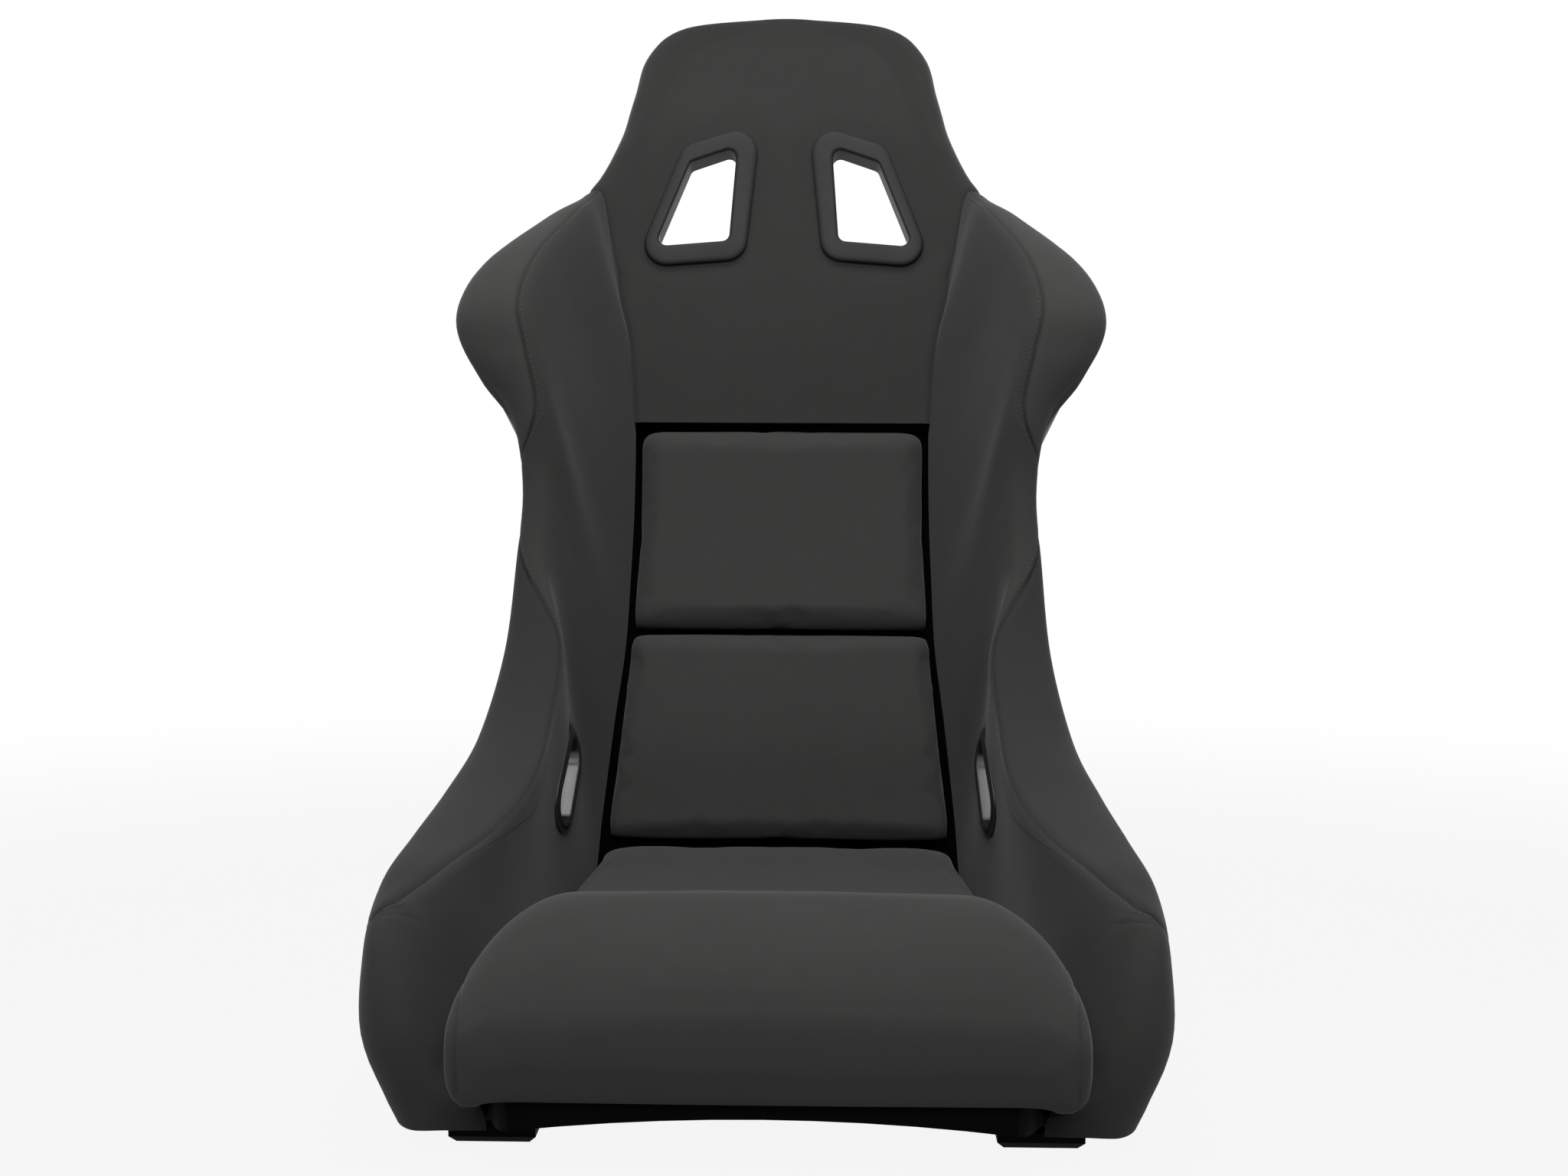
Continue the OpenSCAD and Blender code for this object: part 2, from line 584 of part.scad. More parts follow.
// Head: one cover over one foam slab, both with the shoulder slots cut through
function lifted(g) =
    let (n = len(g[0]) - 1)
    [for (i = [0 : len(g) - 1]) i != neck - chest ? g[i]
        : [for (j = [0 : n]) abs(j - n / 2) <= floor_n ? g[i][j]
            : toward(g[i][j], g[i + 1][j])]];
module head_cover() {
    color("#3a393a") difference() {
        skin(lifted(head_out), lifted(head_in),
            cells(rows - chest, head_n, function (i, j) head_cell(i, j)), head_mid);
        shoulder_cut();
    }
}
foam_half = side_n;
head_under = [for (i = [chest : rows]) [for (j = [0 : 2 * side_n])
    let (p = foam_side[i][j], c = abs(j - side_n))
    i < neck && c == floor_n ? p - [0.8 * sign(p[0]), 0, 0] : p]];
module head_foam() {
    color("#77736a") difference() {
        skin(lifted(columns(head_foam_top, head_mid - foam_half, head_mid + foam_half)),
            head_under, cells(rows - chest, 2 * foam_half,
                function (i, j) i >= neck - chest || abs(j + 0.5 - foam_half) < floor_n),
            foam_half);
        shoulder_cut();
    }
}

// Hook and loop strips between the shell and the cushions
strip_lift = 0.9;
strip_half = 80;
strip_heights = [205, 295, 372, 462];
strip_stations = concat([3.7, 5.4], [for (z = strip_heights) station_at(middle_line, z)]);
module hook_strips() {
    color("#1c1c1d") for (s = strip_stations) {
        p = at(middle_line, s);
        t = at(middle_line, s + 0.1) - at(middle_line, s - 0.1);
        translate([0, p[0], p[1]]) rotate([atan2(t[1], t[0]), 0, 0])
            translate([-strip_half, -strip_w / 2, strip_lift])
                cube([2 * strip_half, strip_w, strip_t]);
    }
}

// Back pads: crowned faces over the middle line of the shell
pad_lift = strip_lift + strip_t + 2 * fit_gap;
pad_round = 13;
pad_crown = 3;
pad_draw = 3;
pad_lean = 0.2;
edge_steps = [0, 2.5, 8, 24];
function edge_fall(e) = e >= pad_round ? 0
    : pad_round - sqrt(pad_round * pad_round - (pad_round - e) * (pad_round - e));
function pad_half(z) =
    let (s = station_at(foot_line, z)) half_w(s) - at(inset_line, s)[0] - pad_side_gap;
function spread(low, high, middle) = concat([for (e = edge_steps) low + e],
    [for (k = [1 : middle]) mix(low + edge_steps[3], high - edge_steps[3], k / (middle + 1))],
    [for (k = [3 : -1 : 0]) high - edge_steps[k]]);
function back_point(x, z, depth) =
    let (s = station_at(middle_line, z - pad_lean * back_pad_t), p = at(middle_line, s),
        t = unit(at(middle_line, s + 0.1) - at(middle_line, s - 0.1)))
    [x, p[0] - depth * t[1], p[1] + depth * t[0]];
function pad_row(z, low, high, corner, draw, flat) =
    let (e = min(z - low, high - z), c = corner && high - z < pad_round ? edge_fall(high - z) : 0,
        half = pad_half(z) - c)
    [for (x = spread(-half, half, 3))
        let (ex = half - abs(x), k = x / half, fall = edge_fall(e) + edge_fall(ex),
            top = back_pad_t + pad_crown * (1 - k * k) - fall,
            zz = z + draw * (e < pad_round ? (z - low < high - z ? 1 : -1) * (1 - e / pad_round) : 0))
        back_point(x * (half - draw) / half, zz, flat ? pad_lift : max(top, pad_lift + 4))];
module back_pad(low, high, corner) {
    rows = spread(low, high, 4);
    top = [for (z = rows) pad_row(z, low, high, corner, 0, false)];
    under = [for (z = rows) pad_row(z, low, high, corner, pad_draw, true)];
    color("#3a393a") skin(top, under, cells(len(rows) - 1, len(top[0]) - 1,
        function (i, j) true));
}
module upper_back_pad() { back_pad(pad_split_z + pad_split_gap / 2, upper_pad_top, true); }
module lower_back_pad() { back_pad(lower_pad_bottom, pad_split_z - pad_split_gap / 2, false); }

// Seat cushion, as slices from its rear edge to the front of the thigh roll:
// [y, top z, bottom z in the middle, bottom z at the ends, half width, shoulder width,
// shoulder height]
roll_half = thigh_half - roll_inset;
cushion_slices = [
    [112, 144, 76, 76, cushion_rear_half - 8, 8, 8],
    [106, 153, 68, 68, cushion_rear_half - 4, 11, 11],
    [80, 152, 56, 56, cushion_rear_half - 2, 12, 12],
    [40, 145, 42, 42, cushion_rear_half + 1, 12, 12],
    [-20, 138, 47, 47, cushion_rear_half + 5, 12, 12],
    [-80, 143, 63, 63, roll_half - 50, 14, 14],
    [-130, 157, 82, 82, roll_half - 41, 30, 26],
    [-170, roll_top_z - 12, 98.1, 92, roll_half - 28, 55, 45],
    [-200, roll_top_z - 3, 110, 92, roll_half - 15, 78, 62],
    [-229, roll_top_z, 114, 66, roll_half - 2, 93, 78],
    [-252, roll_top_z - 6, 113, 60, roll_half, 95, 74],
    [-272, roll_top_z - 23, 98, 59, roll_half, 95, 66],
    [-281, roll_top_z - 35, 63, 58, roll_half - 1, 92, 58],
    [-289, roll_top_z - 51, 65, 62, roll_half - 5, 84, 44],
    [-294, roll_top_z - 67, 76, 76, roll_half - 17, 60, 18]];
cushion_crown = 1.5;
function half_slice(c) =
    let (half = c[4], a = c[5], b = c[6], low = c[3])
    concat([[0.3 * half, c[1] + cushion_crown]],
        [for (t = [0 : 22.5 : 90]) [half - a + a * sin(t), c[1] - b + b * cos(t)]],
        [[half - 1, mix(c[1] - b, low, 0.5)], [half - 4, low + 10], [half - 13, low],
            [half - 25, low - 0.5], [half - 45, c[2] - 1], [0.3 * half, c[2] - 2]]);
function slice_loop(c) =
    let (h = half_slice(c), n = len(h) - 1)
    concat([for (p = h) [p[0], c[0], p[1]]], [for (j = [n : -1 : 0]) [-h[j][0], c[0], h[j][1]]]);
module seat_cushion() {
    loops = [for (c = cushion_slices) slice_loop(c)];
    m = len(loops[0]);
    last = (len(loops) - 1) * m;
    color("#3a393a") polyhedron([for (l = loops) each l], concat(
        [for (i = [0 : len(loops) - 2]) for (j = [0 : m - 1])
            let (a = i * m + j, b = i * m + (j + 1) % m) each [[a, b, b + m], [a, b + m, a + m]]],
        [for (j = [0 : m / 2 - 2]) each [[j, m - 1 - j, m - 2 - j], [j, m - 2 - j, j + 1]]],
        [for (j = [0 : m / 2 - 2]) each [[last + j, last + m - 2 - j, last + m - 1 - j],
            [last + j, last + j + 1, last + m - 2 - j]]]), 10);
}

// The drawing is centred front to back over its whole depth
centre_y = 12;
module centred() translate([0, -centre_y, 0]) children();
module left_base_skid() { base_skid(); }
module right_base_skid() { on_right() base_skid(); }
module left_bolster_foam() { bolster_foam(); }
module right_bolster_foam() { on_right() bolster_foam(); }
module left_bolster_cover() { bolster_cover(); }
module right_bolster_cover() { on_right() bolster_cover(); }
module left_shoulder_panel() { shoulder_panel(); }
module right_shoulder_panel() { on_right() shoulder_panel(); }
module left_hip_panel() { hip_panel(); }
module right_hip_panel() { on_right() hip_panel(); }
module left_shoulder_bezel() { shoulder_bezel(); }
module right_shoulder_bezel() { on_right() shoulder_bezel(); }
module left_rear_bezel() { rear_bezel(); }
module right_rear_bezel() { on_right() rear_bezel(); }
module left_lap_bezel() { lap_bezel(); }
module right_lap_bezel() { on_right() lap_bezel(); }
module left_outer_lap_bezel() { outer_lap_bezel(); }
module right_outer_lap_bezel() { on_right() outer_lap_bezel(); }
centred() shell();
centred() left_base_skid();
centred() right_base_skid();
centred() skid_screws();
centred() base_inserts();
centred() side_inserts();
centred() left_bolster_foam();
centred() right_bolster_foam();
centred() head_foam();
centred() left_bolster_cover();
centred() right_bolster_cover();
centred() left_shoulder_panel();
centred() right_shoulder_panel();
centred() left_hip_panel();
centred() right_hip_panel();
centred() head_cover();
centred() left_shoulder_bezel();
centred() right_shoulder_bezel();
centred() left_rear_bezel();
centred() right_rear_bezel();
centred() bezel_screws();
centred() left_lap_bezel();
centred() right_lap_bezel();
centred() left_outer_lap_bezel();
centred() right_outer_lap_bezel();
centred() upper_back_pad();
centred() lower_back_pad();
centred() seat_cushion();
centred() hook_strips();
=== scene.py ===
import bmesh
import bpy
import math
import numpy as np
from mathutils import Matrix, Vector
from mathutils.bvhtree import BVHTree
from mathutils.kdtree import KDTree


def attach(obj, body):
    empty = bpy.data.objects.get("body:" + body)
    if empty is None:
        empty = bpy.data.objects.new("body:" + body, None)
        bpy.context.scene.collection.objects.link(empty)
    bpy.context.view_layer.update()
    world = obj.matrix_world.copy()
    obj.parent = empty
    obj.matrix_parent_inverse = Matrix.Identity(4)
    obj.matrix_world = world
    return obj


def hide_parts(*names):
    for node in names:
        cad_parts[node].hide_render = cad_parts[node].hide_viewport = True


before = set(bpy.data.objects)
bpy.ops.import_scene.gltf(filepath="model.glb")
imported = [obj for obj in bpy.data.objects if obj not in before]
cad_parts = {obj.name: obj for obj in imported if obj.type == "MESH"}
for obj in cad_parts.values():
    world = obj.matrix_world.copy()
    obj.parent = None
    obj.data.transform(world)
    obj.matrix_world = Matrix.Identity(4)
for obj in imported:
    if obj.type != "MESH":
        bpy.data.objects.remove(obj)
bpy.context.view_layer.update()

# ---------------------------------------------------------------- sizes, in millimetres
MM = 0.001
CENTRE_Y = 12.0
THIGH, HIP, WAIST, SHOULDER, HEAD = 282.0, 221.0, 213.0, 271.0, 143.0
SHELL_T, COVER_T, FIT_GAP, HEAD_FOAM_T = 4.0, 2.5, 0.3, 11.5
PAD_T, PAD_SIDE_GAP, PAD_TOP, PAD_LOW = 32.0, 5.0, 508.0, 164.0
PAD_SPLIT, PAD_SPLIT_GAP = 335.0, 7.0
ROLL_TOP, ROLL_HALF, REAR_HALF = 183.0, THIGH - 69.0, 152.0
BASE_HALF, SIDE_HALF = 194.0, 239.0
FLANGE, BEZEL_T, BEZEL_WALL, BEZEL_LIFT = 17.0, 3.0, 2.5, 0.9
LAP_L, LAP_H, LAP_FLANGE, LAP_LIFT = 78.0, 34.0, 10.0, 0.8
SIDE_SPACING, SIDE_FRONT_Y, THREAD_Z = 290.0, -178.0, 66.0
SKID_H, SKID_SCREWS, SKID_MIDDLE_Y = 12.0, 150.0, -43.0
RIM_GAP = 1.4
COVER_DEPTH = HEAD_FOAM_T + COVER_T + 2 * FIT_GAP
CHANNEL_Z = SKID_H + FIT_GAP + SHELL_T

# Stations along the side of the seat, from the front sill (0) round the nose and up the back.
# The tables below have one row for each: side lines as (y, z), widths as half widths.
NOSE_TOP, LOIN, CHEST, NECK, CROWN = 2, 8, 13, 15, 20
MIDDLE = np.array([[-277, 48], [-273, 84], [-250, 108], [-200, 104], [-130, 76], [-50, 46],
    [35, 34], [116, 60], [151, 150], [165, 238], [186, 312], [204, 376], [219, 440],
    [231, 512], [236, 580], [240, 640], [258, 716], [270, 766], [288, 812], [304, 850],
    [311, 868]], float)
EDGE = MIDDLE.copy()
EDGE[:8] = [[-186, CHANNEL_Z + 4], [-172, CHANNEL_Z + 1], [-150, CHANNEL_Z], [-118, CHANNEL_Z],
    [-62, CHANNEL_Z], [4, CHANNEL_Z], [70, CHANNEL_Z], [134, 46]]
RIM = np.array([[-202, 23], [-218, 86], [-209, 148], [-178, 186], [-125, 208], [-62, 228],
    [2, 258], [58, 322], [92, 392], [106, 462], [111, 524], [112, 568], [118, 603],
    [148, 642], [202, 682], [249, 714], [272, 768], [286, 808], [299, 845], [307, 864],
    [311, 872]], float)
# Step from the rim of the shell to the crest of the cover
CREST_STEP = np.array([[-20, -3], [-24, 3], [-22, 16], [-16, 8], [-8, 10], [-4, 18],
    [-6, 26], [-18, 12], [-16, 5], [-14, 2], [-22, 2], [-25, 4], [-24, 9],
    [-18, 13], [-11, 15], [-14, 5], [-18, 0], [-18, 1], [-16, 3], [-14, 5],
    [-12, 5]], float)
# Line where the face of a bolster starts, beside the cushions
FOOT = np.concatenate([np.array([[-196, 24], [-200, 60], [-190, 92], [-160, 102], [-108, 102],
    [-45, 100], [25, 102], [94, 124], [124, 180], [145, 255], [164, 320], [179, 380],
    [192, 440], [203, 514], [213, 582]], float),
    MIDDLE[NECK:] + COVER_DEPTH * np.array([-0.97, 0.23])])
HALF = np.array([THIGH - 20, THIGH, THIGH - 3, THIGH - 9, HIP + 40, HIP + 28, HIP + 14, HIP + 1,
    WAIST + 4, WAIST, WAIST + 12, SHOULDER - 12, SHOULDER, SHOULDER - 16, HEAD + 69, HEAD + 35,
    HEAD + 9, HEAD - 1, HEAD - 13, HEAD - 43, HEAD - 118], float)
# Half width where the wall leaves the floor, and where it bellies out
WALL = np.array([[212, 230], [214, 234], [212, 231], [211, 233], [209, 235], [209, 237],
    [207, 237], [198, 236], [177, 225], [163, 205], [155, 175], [153, 183], [153, 189],
    [155, 189], [150, 172], [145, 158], [118, 136], [108, 126], [96, 114], [70, 84],
    [11, 16]], float)
# How far the face of a bolster lies inside HALF: at its foot, half way up and at its crest
INSET = np.array([[52, 48, 22], [71, 60, 30], [74, 54, 16], [83, 60, 40], [75, 62, 64],
    [70, 56, 70], [67, 46, 60], [68, 42, 48], [68, 38, 22], [72, 44, 15], [92, 56, 25],
    [129, 84, 50], [143, 96, 55], [127, 80, 50], [79, 56, 34], [34, 24, 14], [26, 22, 18],
    [28, 22, 18], [28, 22, 18], [26, 20, 16], [13, 11, 8]], float)
# Corner centres of a shoulder slot and of its bezel's flange, across and up the flat back
SLOT_CORE = np.array([[50, 108], [78, 98], [103, 34], [55, 38]], float)
FLANGE_CORE = np.array([[44, 113], [75, 103], [103, 29], [52, 33]], float)
SLOT_R = 7.0
LAP_CENTRE = np.array([62.0, 222.0])


# ---------------------------------------------------------------- surfaces of the seat
def spline(a, b, c, d, t):
    """Smooth curve from b to c, with a before them and d after."""
    return 0.5 * (2 * b + (c - a) * t + (2 * a - 5 * b + 4 * c - d) * t * t
                  + (3 * b - a - 3 * c + d) * t ** 3)


def along(table, s):
    """Smooth value of a station table at the stations s."""
    s = np.clip(np.asarray(s, float), 0, CROWN)
    last = len(table) - 1
    i = np.minimum(np.floor(s).astype(int), last - 1)
    t = s - i
    if table.ndim == 2:
        t = t[..., None]
    return spline(table[np.maximum(i - 1, 0)], table[i], table[i + 1],
                  table[np.minimum(i + 2, last)], t)


def smooth(t):
    """0 up to 0, 1 from 1 and smooth in between."""
    t = np.clip(t, 0, 1)
    return t * t * (3 - 2 * t)


def place(x, line):
    """Points from places across and (y, z) pairs."""
    x, line = np.asarray(x, float), np.asarray(line, float)
    shape = np.broadcast_shapes(x.shape, line.shape[:-1])
    return np.concatenate([np.broadcast_to(x, shape)[..., None],
                           np.broadcast_to(line, shape + (2,))], -1)


def bezier(a, b, c, d, t):
    t = np.asarray(t)[..., None]
    r = 1 - t
    return r ** 3 * a + 3 * r * r * t * b + 3 * r * t * t * c + t ** 3 * d


def unit(v):
    return v / np.maximum(np.linalg.norm(v, axis=-1, keepdims=True), 1e-9)


def edge_at(s):
    """Edge of the floor, kept over the channel of the base."""
    p = along(EDGE, s)
    return np.stack([p[..., 0], np.maximum(p[..., 1], CHANNEL_Z)], -1)


def drop_start(s):
    """Share of the floor's half width where it steps down to the base."""
    return 0.8 - 0.14 * smooth((s - 0.5) / 2)


FLOOR_STEP, SILL_ARCH = 0.16, 15.0


def floor_point(s, share):
    """Inner side of the shell's floor and back, at shares of their half width."""
    s, share = np.broadcast_arrays(np.asarray(s, float), np.asarray(share, float))
    w = smooth((share - drop_start(s)) / FLOOR_STEP)
    arch = SILL_ARCH * share ** 2 * (1 - smooth(s / 1.5)) * (1 - w)
    line = along(MIDDLE, s) * (1 - w[..., None]) + edge_at(s) * w[..., None]
    line = line - np.stack([0 * arch, arch], -1)
    return place(share * along(WALL, s)[..., 0], line)


def wall_point(s, u):
    """Inner side of the shell's wall, from its foot to its rim."""
    s, u = np.broadcast_arrays(np.asarray(s, float), np.asarray(u, float))
    low, belly = along(WALL, s)[..., 0], along(WALL, s)[..., 1]
    foot, rim = edge_at(s), along(RIM, s)
    return bezier(place(low, foot), place(belly, foot), place(belly, foot * 0.65 + rim * 0.35),
                  place(along(HALF, s) - SHELL_T - RIM_GAP - COVER_T, rim), u)


LOW_RIM = 0.875         # place on the wall towards which a cover laps behind the rim
TUCK_IN, TUCK_Y, TUCK_Z = 17.0, -24.0, -4.0     # of the foot of a face at the front sill


def face_point(s, u):
    """Face of a bolster, from its foot beside the cushions to its crest."""
    s, u = np.broadcast_arrays(np.asarray(s, float), np.asarray(u, float))
    ins, foot = along(INSET, s), along(FOOT, s)
    tuck = 1 - smooth((s - 0.35) / 0.5)
    ins = ins + tuck[..., None] * np.array([TUCK_IN, 0, 0])
    foot = foot + tuck[..., None] * np.array([TUCK_Y, TUCK_Z])
    crest, half = along(RIM, s) + along(CREST_STEP, s), along(HALF, s)
    reach = 0.3 * np.maximum(ins[..., 0] - ins[..., 2], 0) + 4
    return bezier(place(half - ins[..., 0], foot),
                  place(half - ins[..., 1], foot * 0.58 + crest * 0.42),
                  place(half - ins[..., 2] - reach, crest), place(half - ins[..., 2], crest), u)


def rim_normal(s):
    """Normal of the shell at its rim, towards the occupant."""
    across = wall_point(s, 1.0) - wall_point(s, LOW_RIM)
    up = wall_point(np.minimum(s + 0.5, CROWN), 1.0) - wall_point(np.maximum(s - 0.5, 0), 1.0)
    return unit(np.cross(across, up))


def normals(g):
    """Unit normals of a grid of points, towards the occupant."""
    across = np.gradient(g, axis=1)
    up = np.gradient(g, axis=0)
    return unit(np.cross(across, up))


RIM_DEPTH = SHELL_T + RIM_GAP + COVER_T


def cover_part(s, w):
    """Cover of the left side. w runs 0 to 1 over the face, to 2 over the arc above the rim
    and to 3 down the wrap on the outer side."""
    s, w = np.broadcast_arrays(np.asarray(s, float), np.asarray(w, float))
    p = face_point(s, np.clip(w, 0, 1))
    n = rim_normal(s)
    flat = (RIM_DEPTH - SHELL_T) * (1 - np.abs(n[..., 0]))
    end = wall_point(s, 1.0) - RIM_DEPTH * n + flat[..., None] * np.array([1, 0, 0])
    low = wall_point(s, LOW_RIM) - RIM_DEPTH * n
    hub = np.stack([p[..., 0], end[..., 1], end[..., 2]], -1)
    a = np.clip(w - 1, 0, 1)[..., None] * math.pi / 2
    arc = hub + (p - hub) * np.cos(a) + (end - hub) * np.sin(a)
    q = np.where((w > 1)[..., None], arc, p)
    neck = smooth((s - 13.2) / 0.7) * (1 - smooth((s - 15.7) / 0.9))
    t = np.clip(w - 2, 0, 1)[..., None] * (0.35 - 0.27 * neck)[..., None]
    return np.where((w > 2)[..., None], end + (low - end) * t, q)


# ---------------------------------------------------------------- mesh making
def metres(points):
    """Drawn points, in metres and in the frame's place, from points in millimetres."""
    p = np.array(points, float).reshape(-1, 3)
    p[:, 1] -= CENTRE_Y
    return p * MM


def millimetres(points):
    """Points in millimetres, before the frame's shift, from drawn points."""
    return np.asarray(points) / MM + np.array([0, CENTRE_Y, 0])


def mirror_points(points):
    return np.asarray(points, float) * np.array([-1.0, 1.0, 1.0])


def mirrored(lines):
    return [mirror_points(line) for line in lines]


def linked(name, data):
    """A new object in the scene."""
    ob = bpy.data.objects.new(name, data)
    bpy.context.collection.objects.link(ob)
    return ob


def reworked(me, work):
    """Runs a piece of work on a mesh as a bmesh."""
    bm = bmesh.new()
    bm.from_mesh(me)
    work(bm)
    bm.to_mesh(me)
    bm.free()


def new_object(name, points, faces, uv=None, crease_angle=35.0):
    """A mesh object at the origin, smooth but for edges sharper than the crease angle."""
    me = bpy.data.meshes.new(name)
    me.from_pydata(metres(points).tolist(), [], [list(map(int, f)) for f in faces])
    me.update()
    if uv is not None:
        loops = np.empty(len(me.loops), dtype=np.int32)
        me.loops.foreach_get("vertex_index", loops)
        layer = me.uv_layers.new(name="cloth")
        layer.data.foreach_set("uv", np.asarray(uv, float)[loops].astype(np.float32).ravel())
    ob = linked(name, me)
    soften(ob, crease_angle)
    return ob


def soften(ob, crease_angle=35.0):
    """Shades an object smooth but for its sharp edges."""
    limit = math.radians(crease_angle)

    def work(bm):
        for f in bm.faces:
            f.smooth = True
        for e in bm.edges:
            e.smooth = not (len(e.link_faces) == 2 and e.calc_face_angle(0.0) > limit)
    reworked(ob.data, work)


def quads(ni, nj, start=0, turned=False, keep=None):
    """Quads over a grid of ni by nj cells, facing the occupant unless turned."""
    out = []
    for i in range(ni):
        for j in range(nj):
            if keep is not None and not keep[i][j]:
                continue
            a = start + i * (nj + 1) + j
            q = (a, a + 1, a + nj + 2, a + nj + 1)
            out.append(q[::-1] if turned else q)
    return out


def skin(top, under, keep=None):
    """Points and faces of a closed body between two grids, over the cells in keep."""
    ni, nj = top.shape[0] - 1, top.shape[1] - 1
    keep = np.ones((ni, nj), bool) if keep is None else np.asarray(keep, bool)
    n = top.shape[0] * top.shape[1]
    faces = quads(ni, nj, 0, False, keep) + quads(ni, nj, n, True, keep)
    around = np.zeros((ni + 2, nj + 2), bool)
    around[1:-1, 1:-1] = keep
    for i in range(ni):
        for j in range(nj):
            if not keep[i][j]:
                continue
            a = i * (nj + 1) + j
            corners = (a, a + 1, a + nj + 2, a + nj + 1)
            for k, di, dj in ((3, 1, 0), (1, 1, 2), (0, 0, 1), (2, 2, 1)):
                if not around[i + di, j + dj]:
                    p, q = corners[k], corners[(k + 1) % 4]
                    faces.append((p, q, n + q, n + p))
    points = np.concatenate([top.reshape(-1, 3), under.reshape(-1, 3)])
    faces = [f if k < 2 * keep.sum() else f[::-1] for k, f in enumerate(faces)]
    return used(points, faces)


def used(points, faces):
    """Points and faces without the points that no face has, and the places of those kept."""
    ids = np.unique(np.concatenate([np.asarray(f) for f in faces]))
    back = np.full(len(points), -1)
    back[ids] = np.arange(len(ids))
    return points[ids], [tuple(back[list(f)]) for f in faces], ids


def cloth_uv(g):
    """Lengths across and along a grid, in metres, so that a weave keeps its scale."""
    across = np.linalg.norm(np.diff(g, axis=1), axis=-1)
    up = np.linalg.norm(np.diff(g, axis=0), axis=-1)
    u = np.concatenate([np.zeros((g.shape[0], 1)), np.cumsum(across, 1)], 1)
    v = np.concatenate([np.zeros((1, g.shape[1])), np.cumsum(up, 0)], 0)
    v = np.repeat(v.mean(1, keepdims=True), g.shape[1], 1)
    return np.stack([u, v], -1) * MM


def near(points, lines):
    """Distance from each point to the nearest of some polylines, in millimetres."""
    points = np.asarray(points, float)
    marks = np.concatenate([dense(line, 0.6) for line in lines])
    tree = KDTree(len(marks))
    for k, q in enumerate(marks):
        tree.insert(q, k)
    tree.balance()
    d = np.array([tree.find(q)[2] for q in points.reshape(-1, 3)])
    return d.reshape(points.shape[:-1])


def dense(line, step):
    """The same line with points a step apart."""
    line = np.asarray(line, float)
    seg = np.linalg.norm(np.diff(line, axis=0), axis=1)
    run = np.concatenate([[0], np.cumsum(seg)])
    n = max(int(run[-1] / step), 1)
    t = np.linspace(0, run[-1], n + 1)
    return np.stack([np.interp(t, run, line[:, k]) for k in range(3)], 1)


def drawn_in(points, lines, depth, width, puff):
    """How far cloth sinks into its seams, and swells a little beside them."""
    d = near(points, lines)
    return -depth * np.exp(-(d / width) ** 2) + puff * np.exp(-((d - 8) / 4.5) ** 2)


def sew(g, lines, depth=1.3, width=2.4, puff=0.45):
    """Draws a grid of cloth into its seams."""
    return g + normals(g) * drawn_in(g, lines, depth, width, puff)[..., None]


def mesh_now(ob):
    """The mesh of an object with its modifiers."""
    dg = bpy.context.evaluated_depsgraph_get()
    dg.update()
    return bpy.data.meshes.new_from_object(ob.evaluated_get(dg), depsgraph=dg)


def settle(ob):
    """Applies every modifier of an object."""
    me, old = mesh_now(ob), ob.data
    ob.modifiers.clear()
    ob.data = me
    if old.users == 0:
        bpy.data.meshes.remove(old)


def modify(ob, kind, **settings):
    """Applies one modifier to an object."""
    m = ob.modifiers.new(kind.lower(), kind)
    for key, value in settings.items():
        setattr(m, key, value)
    settle(ob)


def cut(ob, *meshes):
    """Takes closed meshes, given as points and faces, out of an object."""
    cutter = joined("cutter", meshes)
    modify(ob, "BOOLEAN", operation="DIFFERENCE", solver="EXACT", object=cutter)
    bpy.data.objects.remove(cutter)


WELD_REACH = 0.02


def weld(bm):
    """Merges points that lie together and drops the faces that close up."""
    bmesh.ops.remove_doubles(bm, verts=bm.verts, dist=WELD_REACH * MM)
    bmesh.ops.dissolve_degenerate(bm, edges=bm.edges, dist=WELD_REACH * MM / 2)


# The next three speak the units of the drawing, metres
def points_of(ob):
    v = np.empty(len(ob.data.vertices) * 3)
    ob.data.vertices.foreach_get("co", v)
    return v.reshape(-1, 3)


def set_points(ob, v):
    ob.data.vertices.foreach_set("co", np.ascontiguousarray(v).ravel())
    ob.data.update()


def vertex_normals(ob):
    n = np.empty(len(ob.data.vertices) * 3)
    ob.data.vertex_normals.foreach_get("vector", n)
    return n.reshape(-1, 3)


def surface_tree(g):
    """Search tree over a grid of points, in millimetres."""
    return BVHTree.FromPolygons([Vector(p) for p in g.reshape(-1, 3)],
                                quads(g.shape[0] - 1, g.shape[1] - 1))


def prism(loop, direction):
    """Closed prism over a loop of points, along a vector, in millimetres."""
    loop = np.asarray(loop, float)
    n = len(loop)
    points = np.concatenate([loop, loop + np.asarray(direction, float)])
    faces = [tuple(range(n)), tuple(range(2 * n - 1, n - 1, -1))]
    faces += [(k, (k + 1) % n, n + (k + 1) % n, n + k)[::-1] for k in range(n)]
    return points, faces


def joined(name, parts):
    """One object from several lists of points and faces, with its faces turned outwards."""
    points, faces, start = [], [], 0
    for p, f in parts:
        points.append(np.asarray(p, float))
        faces += [tuple(k + start for k in q) for q in f]
        start += len(p)
    ob = new_object(name, np.concatenate(points), faces)
    reworked(ob.data, lambda bm: bmesh.ops.recalc_face_normals(bm, faces=bm.faces))
    return ob


def ring(loops, close=True):
    """Points and faces through loops with equal numbers of points."""
    m, k = len(loops[0]), len(loops)
    points = np.concatenate(loops)
    faces = [(i * m + j, i * m + (j + 1) % m, (i + 1) % k * m + (j + 1) % m, (i + 1) % k * m + j)
             for i in range(k if close else k - 1) for j in range(m)]
    return points, faces


